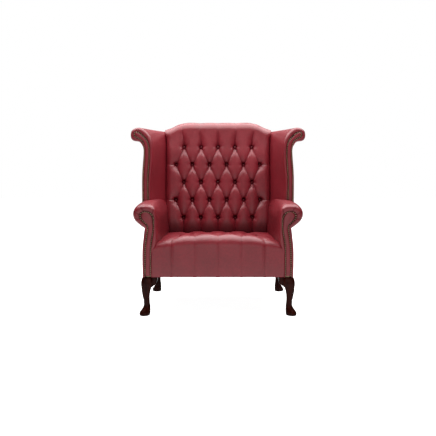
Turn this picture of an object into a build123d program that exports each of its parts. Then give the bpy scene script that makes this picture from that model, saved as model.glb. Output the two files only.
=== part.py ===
from build123d import *
import math
import os

# A deep-buttoned wing loveseat in leather on four cabriole legs.
# Millimetres, +X to the sitter's left as seen from the front (right in a front view), +Y to the rear, +Z up.
# While it is built, Y = 0 is the front face of the seat apron; export moves the origin to the middle
# of the footprint on the floor.

# Overall sizes
leg_height = 222.0
seat_height = 455.0
seat_side_height = 398.0
arm_height = 646.0
wing_height = 1082.0
back_height = 1140.0
half_seat = 373.0
arm_base_width = 54.0
arm_overhang = 53.0
arm_bulge = 24.0
body_depth = 580.0
back_rake_degrees = 14.0
rake_start = 324.0
wing_setback = 240.0
wing_lean = 0.12
wing_spread = 105.0

# Boards of the beech frame and the soft layers on it
board = 26.0
rail_height = 76.0
back_board = 30.0
post_width = 36.4
post_lean = 15.0
skin = 8.0
back_skin = 5.0
facing_thickness = 4.0
post_face = 8.0
gap = 0.3
strap_thickness = 2.0
strap_width = 50.0
seat_long_straps = 6
seat_cross_straps = 5
back_long_straps = 5
back_cross_straps = 4

# Buttons and tufts
button_radius = 9.0
button_height = 5.0
button_sides = 8
button_foot_share = 0.8
button_edge_share = 0.4
button_crown_share = 0.6
well_mouth = 22.0
back_pitch = 115.0
back_row_pitch = 121.0
back_first_row = 169.0
back_long_rows = 3
back_long_row_buttons = 5
back_tuft_crown = 23.0
tuft_flank_share = 0.75
channel_top_share = 0.6
side_flank_share = 0.7
side_tip_share = 0.3
tuft_tip = 1.5
seat_pitch = 134.0
seat_row_share = 0.2746
seat_rows = 4
seat_front_buttons = 5
seat_first_row = 74.0
seat_groove_depth = 11.0
seat_groove_width = 30.0
seat_button_sink = 13.0
front_pleat_steps = 3
front_pleat_width = 5.0
front_pleat_depth = 2.5

half_body = half_seat + arm_base_width
arm_outer = half_body + arm_overhang
arm_inner = half_seat - arm_bulge
far_back = body_depth * 3
rake = math.radians(back_rake_degrees)
overrun = 40.0
bow_facets = 6
flatness = 0.001
post_inner_low = half_body - skin - gap - post_width
post_inner_top = post_inner_low - post_lean
upright_front = body_depth - back_skin - back_board

# The raked plane of the outside back: local X across, local Y up the back, local Z out to the front
back_plane = Plane(
    origin=(0, body_depth, rake_start),
    x_dir=(1, 0, 0),
    z_dir=(0, -math.cos(rake), math.sin(rake)),
)


def up_back(z, proud):
    """Distance up the back of a point at height z that stands proud of the outside back."""
    return (z - rake_start - proud * math.sin(rake)) / math.cos(rake)


def rake_y(z, proud):
    """Depth of a point at height z that stands proud of the outside back."""
    return body_depth + up_back(z, proud) * math.sin(rake) - proud * math.cos(rake)


def bend_z(proud):
    """Height at which a face that stands proud of the outside back turns from upright to raked."""
    return rake_start + proud * math.tan(rake / 2)


def chain(start, steps):
    """Closed wire of lines and arcs. A step is an end point, or a point on the arc and its end point."""
    edges = []
    here = start
    for step in steps:
        if len(step) == 1:
            edges.append(Edge.make_line(here, step[0]))
        else:
            edges.append(Edge.make_three_point_arc(here, step[0], step[1]))
        here = step[-1]
    if Vector(here) != Vector(start):
        edges.append(Edge.make_line(here, start))
    return Wire(edges)


def bow(start, middle, end):
    """Facet corners along the bow that runs through three points, without its start."""
    points = []
    for step in range(1, bow_facets + 1):
        t = step / bow_facets
        first = (1 - t) * (1 - 2 * t)
        second = 4 * t * (1 - t)
        third = t * (2 * t - 1)
        points.append(Vector(start) * first + Vector(middle) * second + Vector(end) * third)
    return points


def facet_ring(start, steps):
    """Corners of an outline like a chain, its arcs cut into facets."""
    points = [Vector(start)]
    for step in steps:
        if len(step) == 1:
            points.append(Vector(step[0]))
        else:
            points.extend(bow(points[-1], step[0], step[1]))
    return points


def flat_face(points):
    """Flat face inside corner points."""
    return Face(Wire.make_polygon(points, close=True))


def facet_loft(rings):
    """Solid through rings of as many corners each, in flat facets, twisted ones cut along a diagonal."""
    faces = [flat_face(rings[0]), flat_face(rings[-1])]
    for low, high in zip(rings, rings[1:]):
        for i in range(len(low)):
            j = (i + 1) % len(low)
            a, b, c, d = low[i], low[j], high[j], high[i]
            normal = (b - a).cross(d - a).normalized()
            if abs((c - a).dot(normal)) < flatness:
                faces.append(flat_face([a, b, c, d]))
            else:
                faces.extend([flat_face([a, b, c]), flat_face([a, c, d])])
    return Solid(Shell(faces))


def plate(wire, direction):
    """Flat board: the face inside a wire, pushed along a direction."""
    return Solid.extrude(Face(wire), Vector(direction))


def bar(x_span, y_span, z_span):
    """Straight rail between the given spans."""
    size = [span[1] - span[0] for span in (x_span, y_span, z_span)]
    middle = [(span[1] + span[0]) / 2 for span in (x_span, y_span, z_span)]
    return Pos(*middle) * Box(*size)


def mirrored(shape):
    """The same piece on the other side of the seat."""
    return shape.mirror(Plane.YZ)


def share_outline(shares, origin, size, plane_y, maker=chain):
    """Outline from shares of a width and a height; plane_y gives the depth at each height."""
    def place(share):
        x = origin[0] + share[0] * size[0]
        z = origin[1] + share[1] * size[1]
        return (x, plane_y(z), z)

    steps = [tuple(place(point) for point in step) for step in shares[1:]]
    return maker(place(shares[0][0]), steps)


# Legs
leg_top_side = 55.0
leg_top_inset = -1.0
# Height share, inset share of the section's middle from the body corner, side share, corner roundness share
leg_section_shares = (
    (1.0, 0.48, 1.0, 0.4),
    (0.91, 0.44, 1.14, 0.4),
    (0.81, 0.40, 1.18, 0.4),
    (0.69, 0.29, 0.90, 0.4),
    (0.56, 0.24, 0.70, 0.65),
    (0.43, 0.255, 0.58, 0.95),
    (0.32, 0.30, 0.53, 0.95),
    (0.23, 0.33, 0.60, 0.95),
    (0.15, 0.26, 0.78, 0.95),
    (0.06, 0.11, 1.0, 0.95),
    (0.02, 0.10, 1.0, 0.95),
    (0.0, 0.11, 0.90, 0.95),
)
corner_steps = 3
ear_root = 10.0
ear_reach = 28.0
ear_bend = 6.0
ear_drop = 68.0
ear_bend_share = 0.62
ear_tip_share = 0.3
ear_thickness = 30.0
ear_inset = 6.0
dowel_radius = 8.0
dowel_depth = 40.0
dowel_x = half_seat + arm_base_width / 2
front_dowel_y = post_face + board / 2
rear_dowel_y = body_depth - back_skin - back_board / 2


def rounded_square(side, roundness):
    """Corner points of a square whose corners are rounded in short facets."""
    radius = side / 2 * roundness
    points = []
    for quarter in range(4):
        turn = math.radians(90 * quarter)
        for step in range(corner_steps + 1):
            angle = turn + math.radians(90) * step / corner_steps
            corner = math.radians(45) + turn
            reach = (side / 2 - radius) * math.sqrt(2)
            x = reach * math.cos(corner) + radius * math.cos(angle)
            y = reach * math.sin(corner) + radius * math.sin(angle)
            points.append((x, y))
    return points


def dowel(y):
    """Wooden pin that joins a leg to the post above it."""
    middle = leg_height
    return Pos(dowel_x, y, middle) * Cylinder(dowel_radius, dowel_depth * 2)


def cabriole_leg(dowel_y):
    """Front leg at the right of the front view, its knee and pad foot turned out along the diagonal."""
    rings = []
    corner_x = half_body - leg_top_inset
    corner_y = leg_top_inset
    for height, inset, side, roundness in leg_section_shares:
        middle_x = corner_x - inset * leg_top_side
        middle_y = corner_y + inset * leg_top_side
        outline = rounded_square(side * leg_top_side, roundness)
        rings.append([Vector(middle_x + x, middle_y + y, height * leg_height) for x, y in outline])
    ear = knee_ear(corner_x, corner_y)
    diagonal = Plane(origin=(corner_x, corner_y, 0), z_dir=(1, 1, 0))
    leg = facet_loft(rings) + ear + ear.mirror(diagonal)
    return leg - dowel(dowel_y)


def knee_ear(corner_x, corner_y):
    """Curved bracket that runs from the knee along the rail."""
    inner = corner_x - leg_top_side
    y = corner_y + ear_inset
    root = inner + ear_root
    tip = inner - ear_reach
    bend = (inner - ear_bend, y, leg_height - ear_drop * ear_bend_share)
    edge = (tip, y, leg_height - ear_drop * ear_tip_share)
    steps = ((bend, edge), ((tip, y, leg_height),), ((root, y, leg_height),))
    return plate(chain((root, y, leg_height - ear_drop), steps), (0, ear_thickness, 0))


# Arms
roll_height = 136.0
arm_tuck = 28.0
arm_padding = 20.0
arm_rear_tuck = 14.0
wall_rear_tuck = 36.0
arm_wall_share = 0.94
arm_run_share = 1.2
arm_front_lip = 10.0
waist_inset = 13.5
outer_bend_share = 0.35
arm_rail_inset = 16.0
arm_rail_width = 50.0
arm_rail_drop = 46.0
# Arm roll: shares of the roll width from its inner face, and of the roll height down from its crest
arm_roll_shares = (
    ((0.0, 0.632),),
    ((0.03, 0.206), (0.33, 0.022)),
    ((0.75, 0.037), (1.0, 0.36)),
    ((0.90, 0.69), (0.69, 0.853)),
)
# Spoon-shaped facing: shares of the arm base width from the seat side, and of the arm height above the legs
facing_shares = (
    ((0.13, 0.0),),
    ((0.08, 0.40),),
    ((-0.20, 0.736),),
    ((-0.185, 0.84), (0.22, 0.892)),
    ((0.74, 0.912), (1.17, 0.873)),
    ((1.34, 0.835), (1.12, 0.788)),
    ((0.65, 0.738),),
    ((0.54, 0.67), (0.575, 0.615)),
    ((0.70, 0.45),),
    ((0.83, 0.34),),
    ((0.84, 0.0),),
)


def arm_section(y_at, wall_foot, inner, outer, neck, lip):
    """Section of the padded arm: inner wall up from the seat, round the roll and back under it."""
    roll_foot = arm_height - roll_height
    tuck = seat_side_height - arm_tuck
    width = outer - inner

    def place(x, z):
        return (x, y_at(z), z)

    def roll(share):
        x = inner + lip / 2 + share[0] * (width - lip)
        return place(x, arm_height - lip - share[1] * (roll_height - lip))

    top = roll(arm_roll_shares[0][0])
    bulge = place(wall_foot + (inner - wall_foot) * arm_wall_share, (tuck + top[2]) / 2)
    steps = [(bulge, top)]
    for step in arm_roll_shares[1:]:
        steps.append(tuple(roll(point) for point in step))
    steps.append((place(neck, roll_foot),))
    steps.append((place(inner + arm_padding, roll_foot),))
    steps.append((place(wall_foot + arm_padding, tuck),))
    return facet_ring(place(wall_foot, tuck), steps)


def arm_envelope():
    """Whole padded arm from its front edge to the outside back."""
    waist = half_body - waist_inset
    front = arm_section(lambda z: 0, half_seat, arm_inner, arm_outer, waist, arm_front_lip)
    shoulder = arm_section(lambda z: arm_front_lip, half_seat, arm_inner, arm_outer, waist, 0)
    return facet_loft([front, shoulder, arm_rear_section(body_depth * arm_run_share)])


def arm_rear_section(y):
    """Section of the arm behind the back, where its inner wall has drawn in."""
    wall_foot = half_seat - wall_rear_tuck
    inner = arm_inner - arm_rear_tuck
    outer = arm_outer - arm_rear_tuck
    return arm_section(lambda z: y, wall_foot, inner, outer, half_body, 0)


def facing_outline(y):
    """Outline of the arm facing and of the post behind it."""
    origin = (half_seat, leg_height)
    size = (arm_base_width, arm_height - leg_height)
    return share_outline(facing_shares, origin, size, lambda z: y)


def arm_facing():
    """Nailed leather panel on the front of the arm post."""
    return plate(facing_outline(-facing_thickness), (0, facing_thickness + post_face, 0))


def stump():
    """Spoon-shaped board behind the arm facing, not yet bored for its dowel."""
    return plate(facing_outline(post_face), (0, board, 0))


def front_post():
    """Spoon-shaped stump that carries the front of the arm."""
    return stump() - dowel(front_dowel_y)


def arm_rail():
    """Rail inside the arm roll, from the front post to the back post."""
    x_span = (half_seat + arm_rail_inset, half_seat + arm_rail_inset + arm_rail_width)
    z_span = (arm_height - arm_rail_drop - board, arm_height - arm_rail_drop)
    rail = bar(x_span, (post_face + board, far_back), z_span)
    return rail - rear_room(back_skin + back_board)


def inside_arm():
    """Leather and stuffing of the arm, open where its boards pass through it."""
    border = bar((half_seat, dowel_x), (0, post_face + board), (leg_height, seat_side_height))
    pad = arm_envelope() + border
    boards = (arm_facing(), stump(), arm_rail(), wing_post(), back_post(), front_rail(), lower_back_rail())
    for piece in boards:
        pad = pad - piece
    return pad - rear_room(back_skin)


def outside_arm():
    """Leather panel on the outside of the arm, from the bottom edge up to the roll."""
    roll_foot = arm_height - roll_height
    waist = half_body - waist_inset

    def section(y_at, top_x):
        def place(x, z):
            return (x, y_at(z), z)

        hip = seat_side_height - arm_tuck
        outer_bend = (half_body - (half_body - top_x) * outer_bend_share, (roll_foot + hip) / 2)
        return facet_ring(
            place(half_body, leg_height),
            (
                (place(half_body, hip),),
                (place(*outer_bend), place(top_x, roll_foot)),
                (place(top_x - skin, roll_foot),),
                (place(outer_bend[0] - skin, outer_bend[1]), place(half_body - skin, hip)),
                (place(half_body - skin, leg_height),),
            ),
        )

    front = section(lambda z: 0, waist)
    rear = section(lambda z: body_depth * arm_run_share, half_body)
    panel = facet_loft([front, rear]) - rear_room(back_skin)
    for piece in (back_post(), arm_facing(), stump()):
        panel = panel - piece
    return panel


def rear_room(proud):
    """All the room behind a face that stands proud of the outside back, upright at the base and then raked."""
    top = back_height + far_back
    outline = [
        (-arm_outer, body_depth - proud, -leg_height),
        (-arm_outer, body_depth - proud, bend_z(proud)),
        (-arm_outer, rake_y(top, proud), top),
        (-arm_outer, far_back, top),
        (-arm_outer, far_back, -leg_height),
    ]
    return plate(Wire.make_polygon(outline, close=True), (arm_outer * 2, 0, 0))


# Wings: shares of the wing spread from the body side, and of the wing height above the arms
wing_sink_share = -0.12
wing_front_shares = (
    ((-0.175, wing_sink_share),),
    ((-0.295, 0.47),),
    ((-0.324, 0.64), (-0.257, 0.812)),
    ((0.03, 0.924), (0.571, 0.998)),
    ((0.876, 0.975), (1.0, 0.906)),
    ((0.924, 0.844), (0.695, 0.814)),
    ((0.514, 0.821),),
    ((0.305, 0.761), (0.248, 0.674)),
    ((-0.067, 0.674),),
    ((0.029, wing_sink_share),),
)
wing_rear_shares = (
    ((-0.752, wing_sink_share),),
    ((-0.705, 0.47),),
    ((-0.692, 0.64), (-0.667, 0.812)),
    ((-0.61, 0.927), (-0.40, 0.998)),
    ((-0.229, 0.977), (-0.152, 0.922)),
    ((-0.133, 0.88), (-0.143, 0.844)),
    ((-0.152, 0.83),),
    ((-0.162, 0.755), (-0.143, 0.674)),
    ((-0.495, 0.674),),
    ((-0.562, wing_sink_share),),
)
wing_facing_shares = (
    ((-0.067, 0.006),),
    ((-0.105, 0.49),),
    ((-0.133, 0.64), (-0.076, 0.778)),
    ((0.095, 0.858), (0.41, 0.927)),
    ((0.629, 0.945), (0.80, 0.917)),
    ((0.81, 0.881), (0.648, 0.86)),
    ((0.467, 0.842),),
    ((0.276, 0.789), (0.219, 0.693)),
    ((0.229, 0.49),),
    ((0.276, 0.006),),
)
wing_rail_drop = 70.0
wing_rail_inset = 7.0
outer_wing_foot_share = 0.40


def wing_plane(offset):
    """Depth of the leaning wing front at each height, set back by an offset."""
    return lambda z: wing_setback + offset + wing_lean * (z - arm_height)


def wing_outline(shares, plane_y, maker=chain):
    """Outline of a wing part in the given leaning plane."""
    size = (wing_spread, wing_height - arm_height)
    return share_outline(shares, (half_body, arm_height), size, plane_y, maker)


def inside_wing():
    """Leather and stuffing of the wing, its roll turned outward and fading to the rear."""
    front = wing_outline(wing_front_shares, wing_plane(0), facet_ring)
    rear = wing_outline(wing_rear_shares, lambda z: rake_y(z, back_skin), facet_ring)
    pad = facet_loft([front, rear])
    for piece in (wing_facing(), wing_post(), wing_top_rail(), back_post(), top_back_rail(), arm_envelope()):
        pad = pad - piece
    return pad


def wing_facing():
    """Nailed leather panel on the front of the wing post."""
    outline = wing_outline(wing_facing_shares, wing_plane(-facing_thickness))
    return plate(outline, (0, facing_thickness + post_face, 0))


def wing_post():
    """Scrolled board that stands on the arm rail and carries the front of the wing."""
    foot = -arm_rail_drop / (wing_height - arm_height)
    shares = [((wing_facing_shares[0][0][0], foot),)]
    shares.extend(wing_facing_shares[:-1])
    shares.append(((wing_facing_shares[-1][0][0], foot),))
    outline = wing_outline(shares, wing_plane(post_face))
    return plate(outline, (0, board, 0))


def wing_top_rail():
    """Rail inside the wing's roll, from the wing post to the back post."""
    low = wing_height - wing_rail_drop - board
    high = wing_height - wing_rail_drop

    def section(y_at, inner):
        corners = [(inner, low), (inner + board, low), (inner + board, high), (inner, high)]
        return [Vector(x, y_at(z), z) for x, z in corners]

    front = section(wing_plane(post_face + board), half_body - wing_rail_inset)
    rear = section(lambda z: rake_y(z, back_skin + back_board), post_inner_top)
    return facet_loft([front, rear])


def outside_wing():
    """Leather panel on the outside of the wing, from the arm roll up to the wing's roll."""
    high = wing_front_shares[-3][-1]
    rear_high = wing_rear_shares[-3][-1]
    thickness = skin / wing_spread

    def section(x_low, x_high, plane_y):
        shares = (
            ((x_low, wing_sink_share),),
            ((x_high, high[1]),),
            ((x_high - thickness, high[1]),),
            ((x_low - thickness, wing_sink_share),),
        )
        return wing_outline(shares, plane_y, facet_ring)

    front = section(outer_wing_foot_share, high[0], wing_plane(0))
    rear = section(rear_high[0], rear_high[0], lambda z: rake_y(z, back_skin))
    panel = facet_loft([front, rear])
    return panel - wing_facing() - wing_post() - back_post() - arm_envelope()


def back_post():
    """Back corner post: upright between the rails, then raked and leaning in to the top."""
    rear_face = body_depth - back_skin
    face = back_skin + back_board

    def ring(x, front, rear):
        corners = [(x, *front), (x + post_width, *front), (x + post_width, *rear), (x, *rear)]
        return [Vector(*corner) for corner in corners]

    top = wing_height - wing_rail_drop
    low = ring(post_inner_low, (upright_front, leg_height), (rear_face, leg_height))
    bend = ring(post_inner_low, (upright_front, bend_z(face)), (rear_face, bend_z(back_skin)))
    high = ring(post_inner_top, (rake_y(top, face), top), (rake_y(top, back_skin), top))
    return facet_loft([low, bend, high]) - dowel(rear_dowel_y)


# Rails under the seat and behind the back
webbing_z = leg_height + rail_height
corner_block_side = 70.0
corner_block_height = 50.0
sheet = 1.5
tack_rail_height = 30.0
tack_rail_inset = 12.0
lower_rail_low = 124.0
lower_rail_high = 179.0
top_rail_depth = 160.0
back_side_room = 9.0
back_side_lap = 6.0
back_side_low = arm_inner - arm_rear_tuck - back_side_room
back_side_high = arm_inner + back_side_lap
back_bottom = 59.0
shoulder_run = 117.0
back_flat_half = back_side_high - shoulder_run
shoulder_drop = 52.0
shoulder_dip = 4.0
cap = 22.0
cap_round = 18.0
cover_back = 55.0
button_level = 65.0
back_proud = 88.0
back_top_u = up_back(back_height - cap_round, back_proud - cap_round) + cap_round
cap_round_steps = 4


post_side = half_seat + facing_shares[0][0][0] * arm_base_width - gap


def front_rail():
    """Seat rail behind the apron."""
    rail = bar((-dowel_x, dowel_x), (post_face, post_face + board), (leg_height, webbing_z))
    return rail - stump() - mirrored(stump())


def side_rail():
    """Seat rail inside the arm's base."""
    outer = half_body - skin - gap
    return bar((outer - board, outer), (post_face + board, upright_front), (leg_height, webbing_z))


def back_seat_rail():
    """Seat rail between the back posts."""
    return bar((-post_inner_low, post_inner_low), (upright_front, body_depth - back_skin), (leg_height, webbing_z))


def tack_rail():
    """Rail that the inside arm's lower edge is fixed to."""
    low = seat_side_height - arm_tuck
    inner = half_seat + arm_padding + gap
    outer = half_body - tack_rail_inset
    rail = bar((inner, outer), (post_face + board, far_back), (low, low + tack_rail_height))
    return rail - rear_room(back_skin + back_board)


def corner_block(x, y, x_way, y_way):
    """Triangular block glued into a corner of the seat rails."""
    low = webbing_z - corner_block_height - gap
    corners = [(x, y, low), (x + x_way * corner_block_side, y, low), (x, y + y_way * corner_block_side, low)]
    return plate(Wire.make_polygon(corners, close=True), (0, 0, corner_block_height))


def corner_blocks():
    """The four corner blocks."""
    rail_side = half_body - skin - gap - board
    front = corner_block(rail_side, post_face + board, -1, 1)
    rear = corner_block(post_inner_low, upright_front, -1, -1)
    return [front, mirrored(front), rear, mirrored(rear)]


def seat_straps():
    """Webbing across the seat rails: long straps below, cross straps on them."""
    straps = []
    pitch = 2 * post_side / seat_long_straps
    rear = body_depth - back_skin
    for step in range(seat_long_straps):
        x = -post_side + pitch * (step + 0.5)
        z_span = (webbing_z, webbing_z + strap_thickness)
        straps.append(bar((x - strap_width / 2, x + strap_width / 2), (post_face, rear), z_span))
    depth = (upright_front - post_face - board) / seat_cross_straps
    half = half_body - skin - gap
    for step in range(seat_cross_straps):
        y = post_face + board + depth * (step + 0.5)
        z_span = (webbing_z + strap_thickness, webbing_z + strap_thickness * 2)
        straps.append(bar((-half, half), (y - strap_width / 2, y + strap_width / 2), z_span))
    return straps


def raked(shape):
    """A piece drawn on the raked plane of the outside back, set in its place."""
    return back_plane.location * shape


def back_outline(side_low, side_high, low, drop, z, maker=chain):
    """Outline of the back on its raked plane, with a flat top and falling shoulders, lowered by a drop."""
    top = back_top_u - drop
    flat = back_flat_half
    shoulder = top - shoulder_drop
    mid_x = (flat + side_high) / 2
    mid_u = top - shoulder_drop / 2 - shoulder_dip
    return maker(
        (-side_low, low, z),
        (
            ((side_low, low, z),),
            ((side_high, shoulder, z),),
            ((mid_x, mid_u, z), (flat, top - shoulder_dip, z)),
            ((0, top, z), (-flat, top - shoulder_dip, z)),
            ((-mid_x, mid_u, z), (-side_high, shoulder, z)),
        ),
    )


def top_back_rail():
    """Shaped top board between the back posts."""
    half = post_inner_top - gap
    outline = back_outline(half, half, back_top_u - top_rail_depth, cap + gap, back_skin)
    return raked(plate(outline, (0, 0, back_board)))


def lower_back_rail():
    """Board between the back posts just above the seat."""
    half = post_inner_low
    rail = bar((-half, half), (lower_rail_low, lower_rail_high), (back_skin, back_skin + back_board))
    return raked(rail) - back_post() - mirrored(back_post())


def back_straps():
    """Webbing on the front of the back frame: upright straps, then cross straps."""
    straps = []
    top = back_top_u - cap - shoulder_drop
    face = back_skin + back_board
    middle = face + strap_thickness
    pitch = 2 * back_flat_half / back_long_straps
    for step in range(back_long_straps):
        x = -back_flat_half + pitch * (step + 0.5)
        strap = bar((x - strap_width / 2, x + strap_width / 2), (lower_rail_low, top), (face, middle))
        straps.append(raked(strap))
    rise = (top - top_rail_depth - lower_rail_high) / back_cross_straps
    for step in range(back_cross_straps):
        u = lower_rail_high + rise * (step + 1)
        u_span = (u - strap_width / 2, u + strap_width / 2)
        straps.append(raked(bar((-back_side_low, back_side_low), u_span, (middle, middle + strap_thickness))))
    return straps


def back_foam():
    """Stuffing between the webbing and the buttoned cover."""
    low = back_skin + back_board + strap_thickness * 2 + gap
    outline = back_outline(back_side_low - cap, back_side_low - cap, back_bottom, cap + gap, low)
    return raked(plate(outline, (0, 0, cover_back - gap - low)))


def tuft(stations):
    """Stuffed diamond or channel. A station is its place up the back, its two sides and its crown."""
    sections = []
    for u, left, right, crown in stations:
        middle = (left + right) / 2
        top = ((middle, u, button_level + crown), (right, u, button_level))
        sections.append(facet_ring((left, u, button_level), (top,)))
    return facet_loft(sections)


def button_row(row):
    """Places of the buttons across one row of the back; long rows alternate with shifted ones."""
    shifted = row % 2
    count = back_long_row_buttons + shifted
    first = -back_pitch * (count - 1) / 2
    return [first + back_pitch * step for step in range(count)]


def back_button_places():
    """Every button of the back on the raked plane."""
    rows = 2 * back_long_rows - 1
    return [(x, back_first_row + back_row_pitch * row) for row in range(rows) for x in button_row(row)]


def back_tufts():
    """All the stuffed diamonds, the channels above and below them, and the half diamonds at the sides."""
    tufts = []
    half = back_pitch / 2
    step = back_row_pitch
    crown = back_tuft_crown
    rows = 2 * back_long_rows - 1
    low_end = back_bottom
    high_end = back_top_u - shoulder_drop
    side = back_side_low
    for row in range(rows):
        u = back_first_row + step * row
        row_buttons = button_row(row)
        for x in [(a + b) / 2 for a, b in zip(row_buttons, row_buttons[1:])]:
            tip = (x - tuft_tip, x + tuft_tip, tuft_tip)
            flank = (x - half / 2, x + half / 2, crown * tuft_flank_share)
            below = [(u - step, *tip), (u - step / 2, *flank)]
            above = [(u + step / 2, *flank), (u + step, *tip)]
            if row == 0:
                below = [(low_end, x - half, x + half, crown)]
            if row == rows - 1:
                above = [(high_end, x - half, x + half, crown * channel_top_share)]
            tufts.append(tuft(below + [(u, x - half, x + half, crown)] + above))
        if row % 2 == 0:
            edge = row_buttons[-1]
            near = edge + half
            middle = (near + edge) / 2
            flank = crown * side_flank_share
            tip = crown * side_tip_share
            below = [(u - step, near, side, tip), (u - step / 2, middle, side, flank)]
            above = [(u + step / 2, middle, side, flank), (u + step, near, side, tip)]
            if row == 0:
                below = [(low_end, edge, side, crown)]
            if row == rows - 1:
                above = [(high_end, edge, side, crown * channel_top_share)]
            side_tuft = tuft(below + [(u, edge, side, crown)] + above)
            tufts.extend([side_tuft, mirrored(side_tuft)])
    return tufts


def button_ring(radius, z):
    """Ring of the faceted button and of the well round it."""
    turns = [2 * math.pi * k / button_sides for k in range(button_sides)]
    return [Vector(radius * math.cos(turn), radius * math.sin(turn), z) for turn in turns]


def button():
    """Leather-covered button, domed in two steps."""
    rings = [
        button_ring(button_radius * button_foot_share, 0),
        button_ring(button_radius, button_height * button_edge_share),
        button_ring(button_radius * button_crown_share, button_height),
    ]
    return facet_loft(rings)


def well():
    """Room that the pulled-in leather leaves round a button."""
    return facet_loft([button_ring(button_radius + gap, 0), button_ring(well_mouth, overrun)])


def cap_profile():
    """Drop from the top and distance from the outside back along the round front edge of the back's roll."""
    profile = [(0, back_skin)]
    for step in range(cap_round_steps + 1):
        turn = math.radians(90) * step / cap_round_steps
        profile.append((cap_round * (1 - math.cos(turn)), back_proud - cap_round * (1 - math.sin(turn))))
    return profile


def inside_back():
    """Deep-buttoned cover of the back, with its roll over the top board."""
    slab = plate(
        back_outline(back_side_low, back_side_high, back_bottom, cap / 2, cover_back),
        (0, 0, button_level - cover_back),
    )
    low = back_top_u - shoulder_drop - cap - cap_round
    side = back_side_high
    upper = facet_loft([back_outline(side, side, low, drop, proud, facet_ring) for drop, proud in cap_profile()])
    lower = plate(
        back_outline(back_side_high + cap, back_side_high + cap, low - cap, cap, 0),
        (0, 0, back_proud + cap),
    )
    pad = (upper - lower).fuse(slab, *back_tufts())
    wells = [Pos(x, u, button_level) * well() for x, u in back_button_places()]
    return raked(pad.cut(*wells))


def back_buttons():
    """The buttons of the back."""
    return [raked(Pos(x, u, button_level) * button()) for x, u in back_button_places()]


def outside_back():
    """Leather panel that closes the back, over the rear ends of the arm rolls and wings."""
    wing_foot = wing_rear_shares[-3][-1]
    wing_x = half_body + wing_foot[0] * wing_spread
    wing_z = arm_height + wing_foot[1] * (wing_height - arm_height)
    side = [
        (half_body, leg_height),
        (half_body, arm_height - roll_height),
        (wing_x, arm_height),
        (wing_x, wing_z),
    ]
    corners = [(x, 0, z) for x, z in side] + [(-x, 0, z) for x, z in reversed(side)]
    body = plate(Wire.make_polygon(corners, close=True), (0, far_back, 0))
    roll = arm_rear_section(0)
    scroll = wing_outline(wing_rear_shares, lambda z: 0, facet_ring)
    for outline in (roll, scroll):
        end = Solid.extrude(flat_face(outline), Vector(0, far_back, 0))
        body = body + end + mirrored(end)
    body = (body & rear_room(back_skin)) - rear_room(0)
    outline = back_outline(back_side_high, back_side_high, 0, 0, 0)
    return body + raked(plate(outline, (0, 0, back_skin)))


# Seat
seat_roll = 68.0
seat_rear_height = 418.0
seat_rear = rake_y(rake_start + back_bottom, back_proud) - gap
seat_row_pitch = (seat_rear - seat_first_row) * seat_row_share
crown_power = 3.4
seat_cover_top = 28.0
station_shares = (-1.0, -0.9, -0.75, -0.55, -0.3, 0.0, 0.3, 0.55, 0.75, 0.9, 1.0)
seat_side = half_seat - gap


def seat_top(x, y):
    """Height of the crowned seat, fullest along its front."""
    crown = 1 - abs(x / half_seat) ** crown_power
    back_share = (y - seat_roll) / (seat_rear - seat_roll)
    middle = seat_height + (seat_rear_height - seat_height) * back_share
    return seat_side_height + (middle - seat_side_height) * crown


def side_room():
    """Room of the arm beside the seat, which closes in toward the back."""
    far = body_depth * arm_run_share
    corners = [
        (seat_side, 0, 0),
        (seat_side, arm_front_lip, 0),
        (seat_side - wall_rear_tuck, far, 0),
        (arm_outer, far, 0),
        (arm_outer, 0, 0),
    ]
    return plate(Wire.make_polygon(corners, close=True), (0, 0, back_height))


def seat_block(front, top, low, rear):
    """Crowned block of the seat, set in from the apron and from the top, down to a height."""
    rings = []
    for share in station_shares:
        x = share * seat_side
        crest = seat_top(x, seat_roll) - top
        reach = seat_roll - front
        bend = (x, front + reach * (1 - math.sqrt(0.5)), crest - reach * (1 - math.sqrt(0.5)))
        rear_z = seat_top(x, rear) - top
        steps = (
            ((x, front, crest - reach),),
            (bend, (x, seat_roll, crest)),
            ((x, rear, rear_z),),
            ((x, rear, low),),
        )
        rings.append(facet_ring((x, front, low), steps))
    return facet_loft(rings) - side_room() - mirrored(side_room())


def groove(start, end, across, width, depth):
    """Straight pleat between two points of a surface, pulled in to a depth; across is its side direction."""
    way = (Vector(end) - Vector(start)).normalized()
    across = across.normalized()
    out = across.cross(way).normalized()
    rings = []
    for point in (Vector(start), Vector(end)):
        mouth = out * depth
        spread = across * width
        rings.append([point - mouth, point + mouth + spread, point + mouth - spread])
    return facet_loft(rings)


def seat_row(row):
    """Places of the buttons across one row of the seat; long rows alternate with shifted ones."""
    count = seat_front_buttons - row % 2
    first = -seat_pitch * (count - 1) / 2
    return [first + seat_pitch * step for step in range(count)]


def seat_button_places():
    """Every button of the seat."""
    return [(x, seat_first_row + seat_row_pitch * row) for row in range(seat_rows) for x in seat_row(row)]


def seat_pleats():
    """Pleats between neighbouring buttons of the seat, and those that run over its front."""
    pleats = []
    for row in range(seat_rows - 1):
        y = seat_first_row + seat_row_pitch * row
        for x in seat_row(row):
            for other in seat_row(row + 1):
                if abs(other - x) < seat_pitch:
                    start = (x, y, seat_top(x, y))
                    end = (other, y + seat_row_pitch, seat_top(other, y + seat_row_pitch))
                    across = Vector(seat_row_pitch, x - other, 0)
                    pleats.append(groove(start, end, across, seat_groove_width / 2, seat_groove_depth))
    for x in seat_row(0):
        crest = seat_top(x, seat_roll)
        places = [(x, 0, leg_height), (x, 0, crest - seat_roll)]
        for step in range(1, front_pleat_steps + 1):
            angle = math.radians(90) * step / front_pleat_steps
            y = seat_roll * (1 - math.cos(angle))
            places.append((x, y, crest - seat_roll * (1 - math.sin(angle))))
        for start, end in zip(places, places[1:]):
            pleats.append(groove(start, end, Vector(1, 0, 0), front_pleat_width, front_pleat_depth))
    return pleats


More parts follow.
